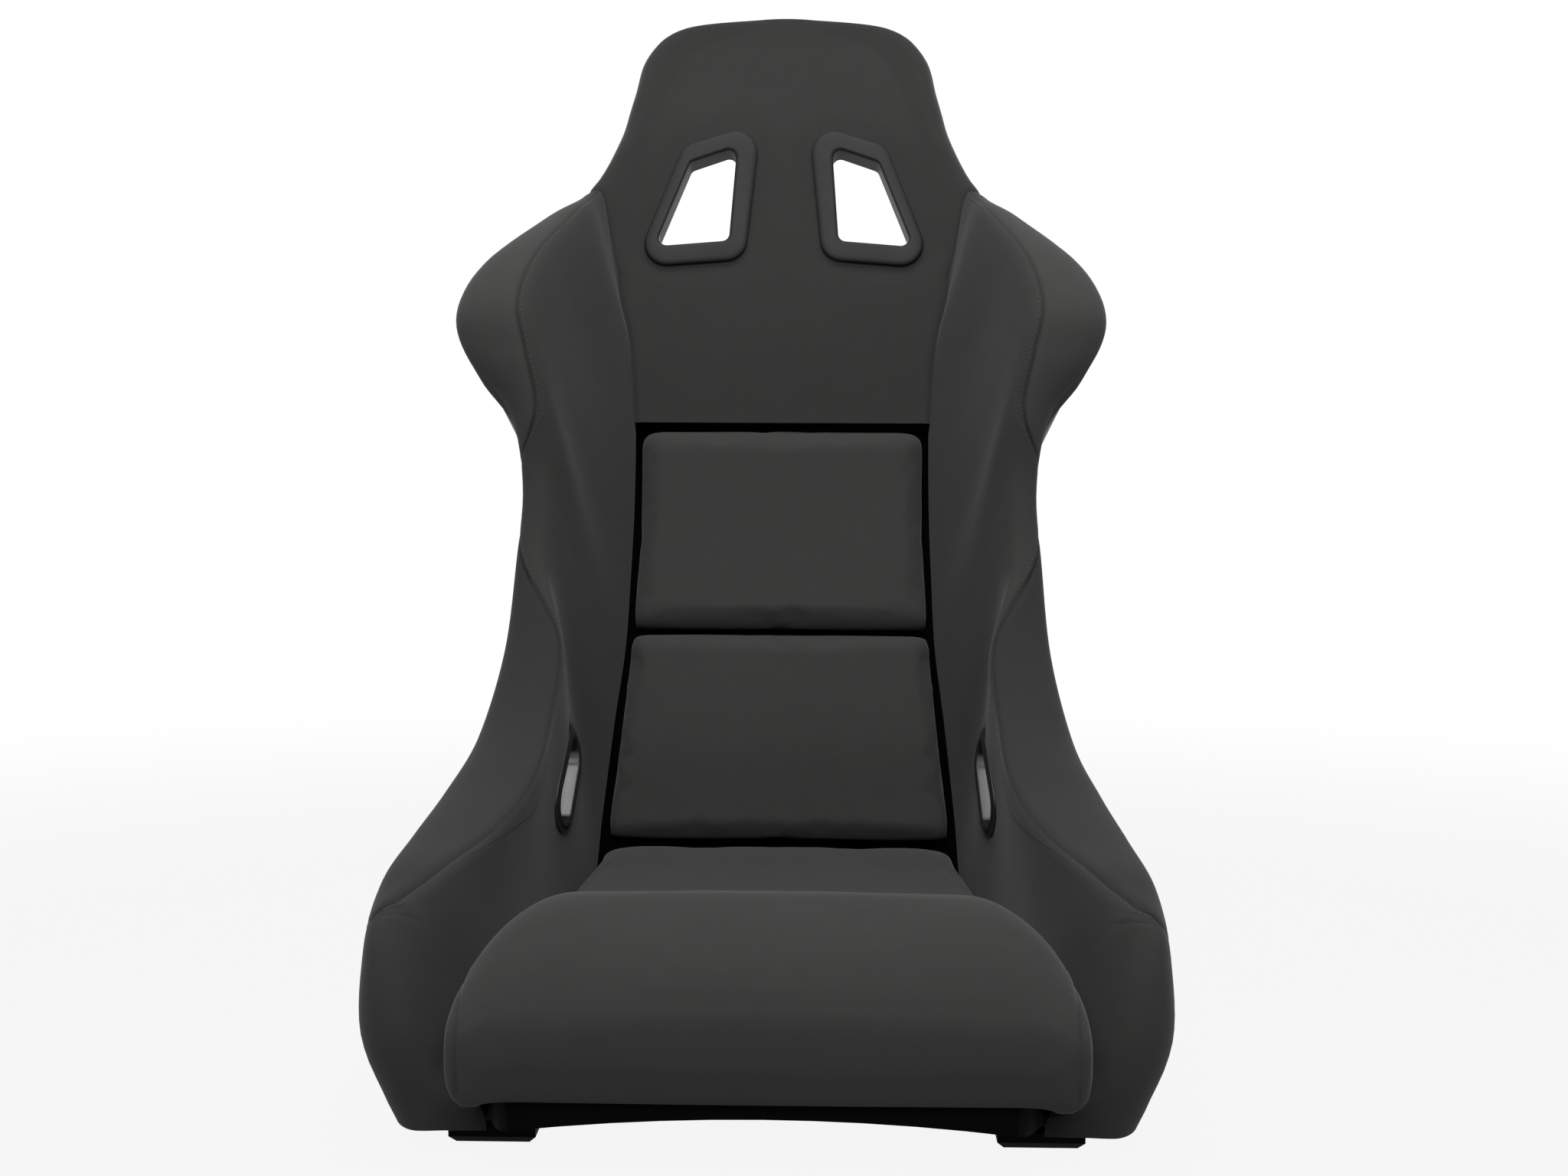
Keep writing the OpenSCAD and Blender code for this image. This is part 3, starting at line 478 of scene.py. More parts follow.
# ---------------------------------------------------------------- shader writing
class Sock:
    """A value in a node tree. Sums written on it add Math nodes."""

    def __init__(self, shop, socket):
        self.shop, self.socket = shop, socket

    def _with(self, op, *others):
        return self.shop.node("Math", {"operation": op},
                              dict(enumerate([self, *others])))

    def __add__(self, o): return self._with("ADD", o)
    def __sub__(self, o): return self._with("SUBTRACT", o)
    def __mul__(self, o): return self._with("MULTIPLY", o)
    def __pow__(self, o): return self._with("POWER", o)
    def sin(self): return self._with("SINE")
    def least(self, o): return self._with("MINIMUM", o)
    def most(self, o): return self._with("MAXIMUM", o)

    def between(self, low, high):
        """0 below low, 1 above high and smooth in between."""
        return self.shop.node("MapRange", {"interpolation_type": "SMOOTHSTEP"},
                              {"Value": self, "From Min": low, "From Max": high})


class Shop:
    """Writes the node tree of a material or of the world."""

    def __init__(self, owner, out="OutputMaterial"):
        self.owner = owner
        owner.use_nodes = True
        self.tree = owner.node_tree
        self.tree.nodes.clear()
        self.out = self.tree.nodes.new("ShaderNode" + out)

    def node(self, kind, settings=None, inputs=None, output=0):
        """An output of a new node with these settings and inputs."""
        n = self.tree.nodes.new("ShaderNode" + kind)
        for key, value in (settings or {}).items():
            setattr(n, key, value)
        for key, value in (inputs or {}).items():
            self.feed(n.inputs[key], value)
        return Sock(self, n.outputs[output])

    def feed(self, socket, value):
        """Links a value into a socket, or sets the socket to it."""
        if isinstance(value, Sock):
            self.tree.links.new(value.socket, socket)
        elif isinstance(value, (tuple, list)) and len(value) == 3 and socket.type == "RGBA":
            socket.default_value = (*value, 1)
        else:
            socket.default_value = value

    def place(self, which="Object", scale=(1, 1, 1), turn=(0, 0, 0)):
        where = self.node("TexCoord", output=which)
        return self.node("Mapping", None, {"Vector": where, "Scale": scale,
                                                     "Rotation": turn})

    def noise(self, where, scale, detail=2.0, rough=0.5):
        return self.node("TexNoise", None, {"Vector": where, "Scale": scale,
                         "Detail": detail, "Roughness": rough})

    def cells(self, where, scale):
        return self.node("TexVoronoi", None, {"Vector": where, "Scale": scale})

    def axes(self, where):
        return [self.node("SeparateXYZ", None, {0: where}, k) for k in range(3)]

    def blend(self, share, a, b):
        """A colour between two."""
        return self.node("Mix", {"data_type": "RGBA"}, {0: share, 6: a, 7: b}, 2)

    def bump(self, height, distance, strength=1.0, normal=None):
        inputs = {"Height": height, "Distance": distance, "Strength": strength}
        if normal is not None:
            inputs["Normal"] = normal
        return self.node("Bump", None, inputs)

    def seen(self):
        """1 for rays from the camera, from gloss and through clear stuff, otherwise 0."""
        rays = [self.node("LightPath", output=f"Is {kind} Ray")
                for kind in ("Camera", "Glossy", "Transmission")]
        return (rays[0] + rays[1] + rays[2]).least(1.0)

    def surface(self, socket):
        self.feed(self.out.inputs["Surface"], socket)
        return self.owner

    def finish(self, **inputs):
        return self.surface(self.node("BsdfPrincipled", None, {
            key.replace("_", " "): value for key, value in inputs.items()}))


def grey(value, warm=0.0):
    """Linear colour of a grey given as an sRGB level from 0 to 255."""
    c = value / 255
    lin = c / 12.92 if c <= 0.04045 else ((c + 0.055) / 1.055) ** 2.4
    return (lin * (1 + warm), lin, lin * (1 - warm))


def new_material(name):
    return Shop(bpy.data.materials.new(name))


WEAVE_PITCH = 1.1


def fabric(name, which, tone):
    """Close charcoal cloth: a fine plain weave, a slightly mottled dye and a soft nap, with painted
    shade in the creases of its seams."""
    shop = new_material(name)
    x, y, z = shop.axes(shop.place(which))
    k = 2 * math.pi / (WEAVE_PITCH * MM)
    if which == "UV":
        warp, weft = (x * k).sin(), (y * k).sin()
    else:
        warp, weft = ((x + y * 0.35) * k).sin(), ((z + y * 0.6) * k).sin()
    weave = warp * weft * 0.5 + 0.5
    where = shop.place()
    spread = shop.noise(where, 60.0, 3.0)
    fibres = shop.noise(where, 1400.0)
    mottle = shop.noise(where, 9.0)
    light = weave * 0.06 + spread * 0.18 + fibres * 0.34 + mottle * 0.24 - 0.41
    dark, pale = grey(tone * 0.86, 0.03), grey(tone * 1.12, 0.02)
    colour = shop.blend((light + 0.5).least(1.0).most(0.0), dark, pale)
    # Painted shade: the colour goes towards near black where the seam attribute marks a seam's
    # groove
    seam = shop.node("Attribute", {"attribute_name": "seam"}, output="Fac")
    colour = shop.blend((seam * 0.85).least(1.0), colour, grey(tone * 0.22))
    normal = shop.bump(weave * 0.5 + fibres, 0.00022, 0.45)
    normal = shop.bump(spread, 0.0012, 0.1, normal)
    return shop.finish(Base_Color=colour, Roughness=fibres * 0.10 + 0.84, Normal=normal,
                       Sheen_Weight=0.1, Sheen_Roughness=0.45, Specular_IOR_Level=0.12)


def moulded(name, tone, rough, grain, warm=0.0, coat=0.0, shine=0.5):
    """Moulded plastic with a fine spark-eroded grain and rubbed places."""
    shop = new_material(name)
    where = shop.place()
    grains = shop.noise(where, 1600.0)
    rub = shop.noise(where, 22.0, 3.0)
    cloud = shop.noise(where, 6.0, 1.0)
    colour = shop.blend(rub * 0.6 + cloud * 0.4, grey(tone * 0.88, warm), grey(tone * 1.14, warm))
    normal = shop.bump(grains, 0.0002, grain)
    return shop.finish(Base_Color=colour, Roughness=rub * 0.16 + (rough - 0.08) + grains * 0.04,
                       Normal=normal, Coat_Weight=coat, Coat_Roughness=0.2,
                       Specular_IOR_Level=shine)


def laminate():
    """Raw inner side of the glass fibre: matt black with the strands of the mat."""
    shop = new_material("raw_laminate")
    where = shop.place("Object", (1.0, 1.0, 2.2), (0.4, 0.7, 0.2))
    strands = shop.noise(where, 300.0, 4.0, 0.7)
    cloud = shop.noise(where, 25.0)
    colour = shop.blend(strands * 0.6 + cloud * 0.4, grey(1), grey(7))
    return shop.finish(Base_Color=colour, Roughness=strands * 0.2 + 0.7,
                       Normal=shop.bump(strands, 0.0005, 0.5), Specular_IOR_Level=0.03)


def gelcoat():
    """Black gelcoat over glass fibre: a gloss with faint ripple and the print of the mat."""
    shop = new_material("black_gelcoat")
    where = shop.place()
    ripple = shop.noise(where, 45.0)
    mat = shop.cells(where, 260.0)
    haze = shop.noise(where, 14.0, 4.0, 0.6)
    scuff = shop.noise(shop.place("Object", (1.0, 6.0, 1.0)), 90.0, 4.0, 0.7).between(0.62, 0.78)
    colour = shop.blend(haze, grey(3), grey(11, 0.01))
    normal = shop.bump(ripple, 0.0006, 0.18)
    normal = shop.bump(mat, 0.00012, 0.25, normal)
    return shop.finish(Base_Color=colour, Roughness=haze * 0.14 + scuff * 0.16 + 0.3, Normal=normal,
                       Specular_IOR_Level=0.22)


def zinc():
    """Bright zinc plate on turned steel, with turning marks and dull patches."""
    shop = new_material("zinc_plate")
    where = shop.place()
    x, y, z = shop.axes(where)
    lines = ((x + y + z) * 9000.0).sin()
    dull = shop.noise(where, 120.0, 4.0, 0.6)
    colour = shop.blend(dull, grey(150, 0.01), grey(196, 0.0))
    normal = shop.bump(lines * 0.3 + dull, 0.00008, 0.4)
    return shop.finish(Base_Color=colour, Metallic=dull * 0.1 + 0.88, Roughness=dull * 0.25 + 0.22,
                       Normal=normal)


def foam_stuff():
    """Grey moulded foam with open cells and a thin skin."""
    shop = new_material("grey_foam")
    where = shop.place()
    cells = shop.cells(where, 620.0)
    cloud = shop.noise(where, 18.0, 3.0)
    colour = shop.blend(cells * 0.5 + cloud * 0.5, grey(126, 0.03), grey(96, 0.04))
    return shop.finish(Base_Color=colour, Roughness=cloud * 0.06 + 0.9,
                       Normal=shop.bump(cells, 0.0005, 0.7))


def hook_tape():
    """Hook and loop tape: a woven ground under rows of short hooks."""
    shop = new_material("hook_tape")
    where = shop.place()
    x, y, z = shop.axes(where)
    rows = ((x * 4200.0).sin() * ((y + z) * 4200.0).sin()) * 0.5 + 0.5
    fuzz = shop.noise(where, 2200.0, 3.0, 0.6)
    colour = shop.blend(rows * 0.5 + fuzz * 0.5, grey(16), grey(46, 0.01))
    return shop.finish(Base_Color=colour, Roughness=fuzz * 0.1 + 0.85,
                       Normal=shop.bump(rows + fuzz, 0.0007, 0.8), Sheen_Weight=0.2)


def thread_stuff():
    """Dull black thread with its twist."""
    shop = new_material("sewing_thread")
    twist = shop.noise(shop.place(), 2600.0)
    colour = shop.blend(twist, grey(28, 0.01), grey(50, 0.01))
    return shop.finish(Base_Color=colour, Roughness=twist * 0.2 + 0.5,
                       Normal=shop.bump(twist, 0.0001, 0.5))


# ---------------------------------------------------------------- finishes
SHELL_SLOT, FOAM_SLOT, BEZEL_SLOT = "shell_plastic", "moulded_foam", "bezel_plastic"
COVER_SLOT, CUSHION_SLOT = "cover_fabric", "cushion_fabric"
BOLSTER_CLOTH = fabric("bolster_cloth", "UV", 54)
# Hip panels: the bolster cloth made darker, as painted shade on the hips
HIP_CLOTH_PAINTED_SHADE = fabric("hip_cloth_painted_shade", "UV", 46)
# Shoulder panels: the bolster cloth made lighter, as painted light on the shoulder wings
SHOULDER_CLOTH_PAINTED_LIGHT = fabric("shoulder_cloth_painted_light", "UV", 60)
HEAD_CLOTH = fabric("head_cloth", "UV", 49)
PAD_CLOTH = fabric("pad_cloth", "Object", 55)
GELCOAT, LAMINATE = gelcoat(), laminate()
BEZEL_PLASTIC = moulded("bezel_plastic", 26, 0.5, 0.3, warm=0.04, shine=0.18)
LAP_PLASTIC = moulded("lap_bezel_plastic", 30, 0.26, 0.15, warm=0.02, coat=0.3)
# Skids: black nylon, with the tone taken further down to near black as painted shade for the shadow
# they sit in
SKID_NYLON_PAINTED_SHADE = moulded("skid_nylon_painted_shade", 3, 0.6, 0.5, shine=0.03)
ZINC = zinc()
FOAM = foam_stuff()
HOOKS = hook_tape()
THREAD = thread_stuff()


def dress(ob, material, slot, body, *nodes):
    """Gives a piece its material, the body it rides on and the nodes it stands for."""
    ob.data.materials.clear()
    ob.data.materials.append(material)
    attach(ob, body)
    if nodes:
        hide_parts(*nodes)


def mark_seam_shade(ob, lines, width=1.3):
    """Writes how deep each point lies in a seam, for the cloth's painted shade there."""
    mark = np.exp(-(near(millimetres(points_of(ob)), lines) / width) ** 2)
    ob.data.attributes.new("seam", "FLOAT", "POINT").data.foreach_set("value", mark)


SIDES = (("left", 1), ("right", -1))


# ---------------------------------------------------------------- openings
BACK_ANGLE = math.atan2(76.0, 18.0)


def on_back(p):
    """Points given on the flat upper back: across, up it and out towards the occupant."""
    p = np.asarray(p, float)
    c, s = math.cos(BACK_ANGLE), math.sin(BACK_ANGLE)
    return np.stack([p[..., 0], 240 + p[..., 1] * c - p[..., 2] * s,
                     640 + p[..., 1] * s + p[..., 2] * c], -1)


def grown(core, r, steps=10):
    """Outline of a polygon of corner centres grown by a radius."""
    out = []
    for i, p in enumerate(core):
        a, b = p - core[i - 1], core[(i + 1) % len(core)] - p
        start = math.degrees(math.atan2(a[1], a[0])) + 90
        turn = (math.degrees(math.atan2(b[1], b[0])) + 90 - start + 540) % 360 - 180
        for k in range(steps + 1):
            t = math.radians(start + turn * k / steps)
            out.append([p[0] + r * math.cos(t), p[1] + r * math.sin(t)])
    return np.array(out)


def flat_loop(loop, height):
    """A flat loop laid on the upper back at a height over it."""
    return on_back(np.concatenate([loop, np.full((len(loop), 1), height)], 1))


def lap_outline(grow, count=48):
    """Outline of the lap slot as (y, z), grown by a width."""
    a = 2 * math.pi * (np.arange(count) + 0.5) / count
    r = LAP_H / 2 + grow
    u = np.sign(np.cos(a)) * (LAP_L - LAP_H) / 2 + r * np.cos(a)
    v = r * np.sin(a)
    k = math.sqrt(0.5)
    return LAP_CENTRE + np.stack([(u - v) * k, (u + v) * k], 1)


def slot_cutters():
    """Prisms through the left shoulder slot and the left lap slot."""
    low, high = -12.0, 36.0
    loop = flat_loop(grown(SLOT_CORE, SLOT_R + BEZEL_WALL + FIT_GAP), low)
    shoulder = prism(loop, on_back([0, 0, high]) - on_back([0, 0, low]))
    inner, reach = 120.0, 180.0
    spots = lap_outline(BEZEL_WALL + FIT_GAP)
    loop = np.concatenate([np.full((len(spots), 1), inner), spots], 1)
    return shoulder, prism(loop, (reach, 0, 0))


def on_side(mesh, sign):
    """A left mesh, or its mirror for the right side, which is the caller's to face outwards."""
    return (mesh[0] if sign > 0 else mirror_points(mesh[0])), mesh[1]


def both_sides(mesh):
    return [on_side(mesh, sign) for _, sign in SIDES]


SHOULDER_CUTTER, LAP_CUTTER = slot_cutters()


def peg(centre, direction, radius, count=24):
    """Cutter for a round hole."""
    d = unit(np.asarray(direction, float))
    side = unit(np.cross(d, [0.3, 0.5, 0.8]))
    up = np.cross(d, side)
    a = 2 * math.pi * np.arange(count) / count
    loop = np.asarray(centre) + radius * (np.cos(a)[:, None] * side + np.sin(a)[:, None] * up)
    return prism(loop, direction)


# ---------------------------------------------------------------- rows and columns
def rows_of(low, high, step, seams, fine=(0.02, 0.05, 0.09, 0.14)):
    """Stations of the rows of a grid, closer beside the seams that cross it."""
    s = np.arange(low, high + 1e-6, step)
    for seam in seams:
        s = s[np.abs(s - seam) > fine[-1] + 0.03]
    extra = [low, high] + [seam + k * d for seam in seams for d in (0,) + fine for k in (-1, 1)]
    s = np.unique(np.round(np.concatenate([s, extra]), 4))
    return s[(s >= low) & (s <= high)]


# Stations where the panels end, and those between which their seams are drawn in deep
HIP_TOP, WING_LOW = 8.4, 9.25
DEEP_FROM, DEEP_TO, WING_DEEP = 2.4, 7.7, 9.9


def seam_w(s):
    """Place of the panel seams over a section: on the crest, and off it at their ends."""
    low = smooth((2.45 - s) / 0.55)
    hip = np.clip((s - 6.95) / 1.45, 0, 1) ** 2.4
    wing = np.clip((10.25 - s) / 1.0, 0, 1) ** 3
    return 1 + 0.96 * np.maximum(low, np.where(s < (HIP_TOP + WING_LOW) / 2, hip, wing))


# Columns of the cover's grid, closer beside the panel seam at 1
FACE_V = np.concatenate([[0, 0.012, 0.03], np.linspace(0.06, 0.92, 24),
                         [0.943, 0.961, 0.976, 0.988, 0.995]])
OUTER_V = np.concatenate([[1, 1.012, 1.032, 1.06, 1.1, 1.16], np.linspace(1.24, 1.92, 8),
                          [1.97, 2, 2.03], np.linspace(2.1, 3, 9)])
COVER_V = np.concatenate([FACE_V, OUTER_V])


def over_seam(s, v):
    """Place over the section for a column: 1 is the panel seam."""
    top = seam_w(s)
    return np.where(v <= 1, v * top, np.where(v <= 2, top + (2 - top) * (v - 1), v))


def row_line(s, w0, w1, n=60):
    """Line over the cover at one station."""
    w = np.linspace(w0, w1, n)
    return cover_part(np.full(n, float(s)), w)


def side_line(s0, s1, w=None, n=160):
    """Line along the cover between two stations, by default where the panel seams run."""
    s = np.linspace(s0, s1, n)
    return cover_part(s, seam_w(s) if w is None else np.full(n, float(w)))


HIP_SEAM, SHOULDER_SEAM = side_line(NOSE_TOP, HIP_TOP), side_line(WING_LOW, NECK)
NECK_SEAM, HEAD_SIDE = row_line(NECK, 0, 3), side_line(CHEST, NECK, 0)
PANEL_ENDS = [row_line(s, float(seam_w(np.array(s))), 3) for s in (NOSE_TOP, HIP_TOP, WING_LOW)]
SEAMS = [HIP_SEAM, SHOULDER_SEAM, NECK_SEAM, HEAD_SIDE] + PANEL_ENDS
DEEP_SEAMS = [side_line(DEEP_FROM, DEEP_TO), side_line(WING_DEEP, NECK), NECK_SEAM, HEAD_SIDE]
SHALLOW_SEAMS = [side_line(*ends) for ends in (
    (NOSE_TOP, DEEP_FROM), (DEEP_TO, HIP_TOP), (WING_LOW, WING_DEEP))] + PANEL_ENDS


# ---------------------------------------------------------------- bolster covers
NOSE_X, NOSE_Z, NOSE_SPREAD, NOSE_BACK = 236.0, 46.0, 34.0, -120.0
CREASE_DEPTH, CREASE_RUN = 0.5, 4.4


def creases(g):
    """Slight drag lines where the cloth is pulled round the nose."""
    x, y, z = g[..., 0], g[..., 1], g[..., 2]
    nose = np.exp(-(((z - NOSE_Z) ** 2 + (x - NOSE_X) ** 2) / NOSE_SPREAD ** 2)) * (y < NOSE_BACK)
    pull = np.sin((x * 0.8 + z * 0.55) / CREASE_RUN) * nose * CREASE_DEPTH
    return g + normals(g) * pull[..., None]


cover_rows = rows_of(0, NECK, 1 / 7, (NOSE_TOP, HIP_TOP, WING_LOW, NECK))
cover_s, cover_v = np.meshgrid(cover_rows, COVER_V, indexing="ij")
bare_cover = cover_part(cover_s, over_seam(cover_s, cover_v))
cover_grid = creases(sew(sew(bare_cover, DEEP_SEAMS), SHALLOW_SEAMS, 0.4, 1.8, 0.1))
cover_under = cover_grid - COVER_T * normals(bare_cover)
cover_uv = cloth_uv(bare_cover)
mid_s = (cover_rows[:-1] + cover_rows[1:]) / 2
outer = np.repeat((COVER_V[:-1] >= 1)[None], len(mid_s), 0)
in_hip = outer & ((mid_s > NOSE_TOP) & (mid_s < HIP_TOP))[:, None]
in_shoulder = outer & ((mid_s > WING_LOW) & (mid_s < NECK))[:, None]
cover_tree = surface_tree(bare_cover)


def two_sided(name, mask, material, cutter=None):
    """Cloth over the cells in mask, left and right, each standing for its node."""
    body_mesh = skin(cover_grid, cover_under, mask)
    uv = uv_of(body_mesh, cover_uv)
    for side, sign in SIDES:
        p, f = on_side(body_mesh, sign)
        f = f if sign > 0 else [q[::-1] for q in f]
        ob = new_object(f"{side}_{name}", p, f, uv)
        if cutter:
            cut(ob, on_side(cutter, sign))
        mark_seam_shade(ob, SEAMS if sign > 0 else mirrored(SEAMS))
        dress(ob, material, COVER_SLOT, "seat", f"{side}_{name}")


def uv_of(body_mesh, uv):
    """The grid's UV for the points of a skin over it, both sides alike."""
    both = np.concatenate([uv.reshape(-1, 2), uv.reshape(-1, 2)])
    return both[body_mesh[2]]


two_sided("bolster_cover", ~(in_hip | in_shoulder), BOLSTER_CLOTH, LAP_CUTTER)
two_sided("hip_panel", in_hip, HIP_CLOTH_PAINTED_SHADE)
two_sided("shoulder_panel", in_shoulder, SHOULDER_CLOTH_PAINTED_LIGHT)


# ---------------------------------------------------------------- head cover
def head_side(s, w):
    """The head's side, with a rounder crown and a wider lap behind it than on the bolsters."""
    s, w = np.broadcast_arrays(np.asarray(s, float), np.asarray(w, float))
    p = cover_part(s, w)
    swell = CROWN_SWELL * np.sin(math.pi * np.clip(w - 1, 0, 1)) * smooth((s - 17.5) / 2)
    rim, lapped = cover_part(s, np.full_like(s, 2.0)), cover_part(s, np.full_like(s, 3.0))
    reach = np.linalg.norm(lapped - rim, axis=-1)
    down = smooth((s - 18) / 2)[..., None]
    way = unit(unit(lapped - rim) * (1 - down) + np.array([0, -0.15, -1.0]) * down)
    reach = reach + (HEAD_LAP - reach) * smooth((s - 16.6) / 1.5)
    lap = rim + way * (reach * np.clip(w - 2, 0, 1))[..., None]
    p = np.where((w > 2)[..., None], lap, p)
    return p + swell[..., None] * np.array([0, 0, 1.0])


def head_row(s, w, share):
    """Half a row over the flat of the head and its side: shares of the flat, then places w."""
    foot_x = float(along(HALF, s) - along(INSET, s)[..., 0])
    tucked = foot_x - FIT_GAP + 1.3 * (s < NECK)
    return np.concatenate([place(share * tucked, along(FOOT, s)), head_side(s, w)])


def crown_row(w, share, turn):
    """Half a row over the crown, where the columns of the last side row gather."""
    last = head_row(float(CROWN), w, share)
    inner = len(share) + int((w < 1).sum())
    gathered = np.concatenate([np.ones(inner, bool), w[w >= 1] < turn])
    spot = head_side(float(CROWN), turn)
    share_x = np.minimum(last[:, 0] / last[inner, 0], 1.0)
    row = place(share_x * spot[0], spot[1:])
    row[:, 2] += 0.7 * (1 - share_x ** 2)
    return np.where(gathered[:, None], row, last)


CROWN_SWELL, HEAD_LAP, SLOT_HOLLOW = 4.2, 8.0, 1.9
head_share = np.concatenate([np.linspace(0, 0.84, 13), [0.89, 0.93, 0.96, 0.98, 0.99, 1.0]])
arc_w, lap_w = np.linspace(1, 2, 9), np.linspace(2.25, 3, 4)
head_w = np.concatenate([[0.02, 0.045, 0.08, 0.13], np.linspace(0.19, 0.94, 13), arc_w, lap_w])
head_rows = np.unique(np.concatenate([rows_of(CHEST, CROWN, 1 / 7, (NECK,)),
                                      np.linspace(CROWN - 1, CROWN, 22)[1:]]))
half_rows = [head_row(s, head_w, head_share) for s in head_rows]
half_rows += [crown_row(head_w, head_share, turn) for turn in np.concatenate([arc_w, lap_w])]
head_half = np.array(half_rows)
head_bare = np.concatenate([mirror_points(head_half[:, :0:-1]), head_half], 1)
both_seams = [NECK_SEAM, HEAD_SIDE] + mirrored([NECK_SEAM, HEAD_SIDE])
slot_rim = flat_loop(grown(FLANGE_CORE, FLANGE + 3), COVER_DEPTH)
slot_rim = np.concatenate([slot_rim, slot_rim[:1]])
to_rim = near(head_bare, [slot_rim, mirror_points(slot_rim)])
hollow = SLOT_HOLLOW * np.exp(-(to_rim / 13) ** 2)
head_grid = sew(head_bare - normals(head_bare) * hollow[..., None], both_seams)
flat_columns = np.zeros(head_grid.shape[1] - 1, bool)
middle = len(head_half[0]) - 1
flat_columns[middle - len(head_share) + 1:middle + len(head_share) - 1] = True
row_s = np.concatenate([head_rows, [CROWN] * (len(head_half) - len(head_rows))])
head_keep = ((row_s[:-1] + row_s[1:]) / 2 > NECK)[:, None] | flat_columns[None]
points, faces, ids = used(head_grid.reshape(-1, 3), quads(*head_keep.shape, keep=head_keep))
head_cover = new_object("head_cover_cloth", points, faces, cloth_uv(head_bare).reshape(-1, 2)[ids])
reworked(head_cover.data, weld)
modify(head_cover, "SOLIDIFY", thickness=COVER_T * MM, offset=-1)
soften(head_cover)
cut(head_cover, *both_sides(SHOULDER_CUTTER))
mark_seam_shade(head_cover, both_seams)
dress(head_cover, HEAD_CLOTH, COVER_SLOT, "seat", "head_cover")


# ---------------------------------------------------------------- shell
SIDE_INSERT_HOLE, SKID_SCREW_HOLE = 7.3, 3.3     # radii
SILL_Y, SILL_Z, SILL_HALF = -150.0, 40.0, 225.0
INNER_SIDE = 0.8 * SHELL_T
shell_rows = rows_of(0, CROWN, 1 / 6, ())
flat_share, step_share = np.arange(5) / 5, np.array([0, 0.15, 0.3, 0.5, 0.7, 0.85, 1])
wall_u = np.linspace(0, 1, 22)
half = []
for s in shell_rows:
    start = drop_start(s)
    shares = np.concatenate([flat_share * start, start + step_share * FLOOR_STEP])
    half.append(np.concatenate([floor_point(s, shares), wall_point(s, wall_u)]))
half = np.array(half)
shell_in = np.concatenate([mirror_points(half[:, :0:-1]), half], 1)
shell_out = shell_in - SHELL_T * normals(shell_in)
shell_body = skin(shell_in, shell_out)
wall_tree = surface_tree(shell_out)
holes = both_sides(SHOULDER_CUTTER) + both_sides(LAP_CUTTER)
for _, sign in SIDES:
    for k in (0, 1):
        holes.append(peg((sign * (SIDE_HALF + 8), SIDE_FRONT_Y + k * SIDE_SPACING, THREAD_Z),
                         (-sign * 40.0, 0, 0), SIDE_INSERT_HOLE))
        holes.append(peg((sign * BASE_HALF, SKID_MIDDLE_Y + (2 * k - 1) * SKID_SCREWS / 2, 2),
                         (0, 0, 24.0), SKID_SCREW_HOLE, 16))
shell = new_object("moulded_shell", shell_body[0], shell_body[1], None, 40)
cut(shell, *holes)
soften(shell, 40)
dress(shell, GELCOAT, SHELL_SLOT, "seat", "shell")
shell.data.materials.append(LAMINATE)
for face in shell.data.polygons:
    spot = millimetres(face.center)
    at_sill = spot[1] < SILL_Y and spot[2] < SILL_Z and abs(spot[0]) < SILL_HALF
    if at_sill or wall_tree.find_nearest(Vector(spot))[3] > INNER_SIDE:
        face.material_index = 1


# ---------------------------------------------------------------- bezels
def across_flange(t):
    """Loop between the shoulder slot (0) and the edge of its bezel's flange (1)."""
    a, b = grown(SLOT_CORE, SLOT_R), grown(FLANGE_CORE, FLANGE + 3)
    return a + (b - a) * t


SEAT_Z = COVER_DEPTH + BEZEL_LIFT
TOP_Z = SEAT_Z + BEZEL_T
REAR_Z = -SHELL_T - BEZEL_LIFT
front_profile = [(0, REAR_Z + 0.3), (0, TOP_Z - 3.6), (0.004, TOP_Z - 2.2), (0.03, TOP_Z - 1.1),
                 (0.075, TOP_Z - 0.3), (0.13, TOP_Z + 0.05), (0.2, TOP_Z + 0.12), (0.45, TOP_Z),
                 (0.75, TOP_Z - 0.35), (0.88, TOP_Z - 0.75), (0.955, TOP_Z - 1.35),
                 (0.99, TOP_Z - 2.1), (1.0, TOP_Z - 2.7), (0.995, SEAT_Z)]
loops = [flat_loop(across_flange(t), z) for t, z in front_profile]
tube = grown(SLOT_CORE, SLOT_R + BEZEL_WALL)
loops += [flat_loop(tube, SEAT_Z), flat_loop(tube, REAR_Z + 0.3)]
front_ring = ring(loops)
rear_profile = [(0, REAR_Z), (0, REAR_Z - 2.0), (0.6, REAR_Z - 2.5), (11.2, REAR_Z - 2.5),
                (11.8, REAR_Z - 2.1), (12.0, REAR_Z - 1.4), (12.0, REAR_Z)]
rear_ring = ring([flat_loop(grown(SLOT_CORE, SLOT_R + r), z) for r, z in rear_profile])


def lap_ring_loop(grow, lift, outer_side=False):
    """Loop round the lap slot, lifted off the bolster's face or off the outer wall."""
    tree, x, way = (wall_tree, 290.0, -1) if outer_side else (cover_tree, 100.0, 1)
    loop = []
    for y, z in lap_outline(grow):
        hit = tree.ray_cast(Vector((x, y, z)), Vector((way, 0, 0)))[0]
        loop.append([hit.x - way * lift, y, z])
    return np.array(loop)


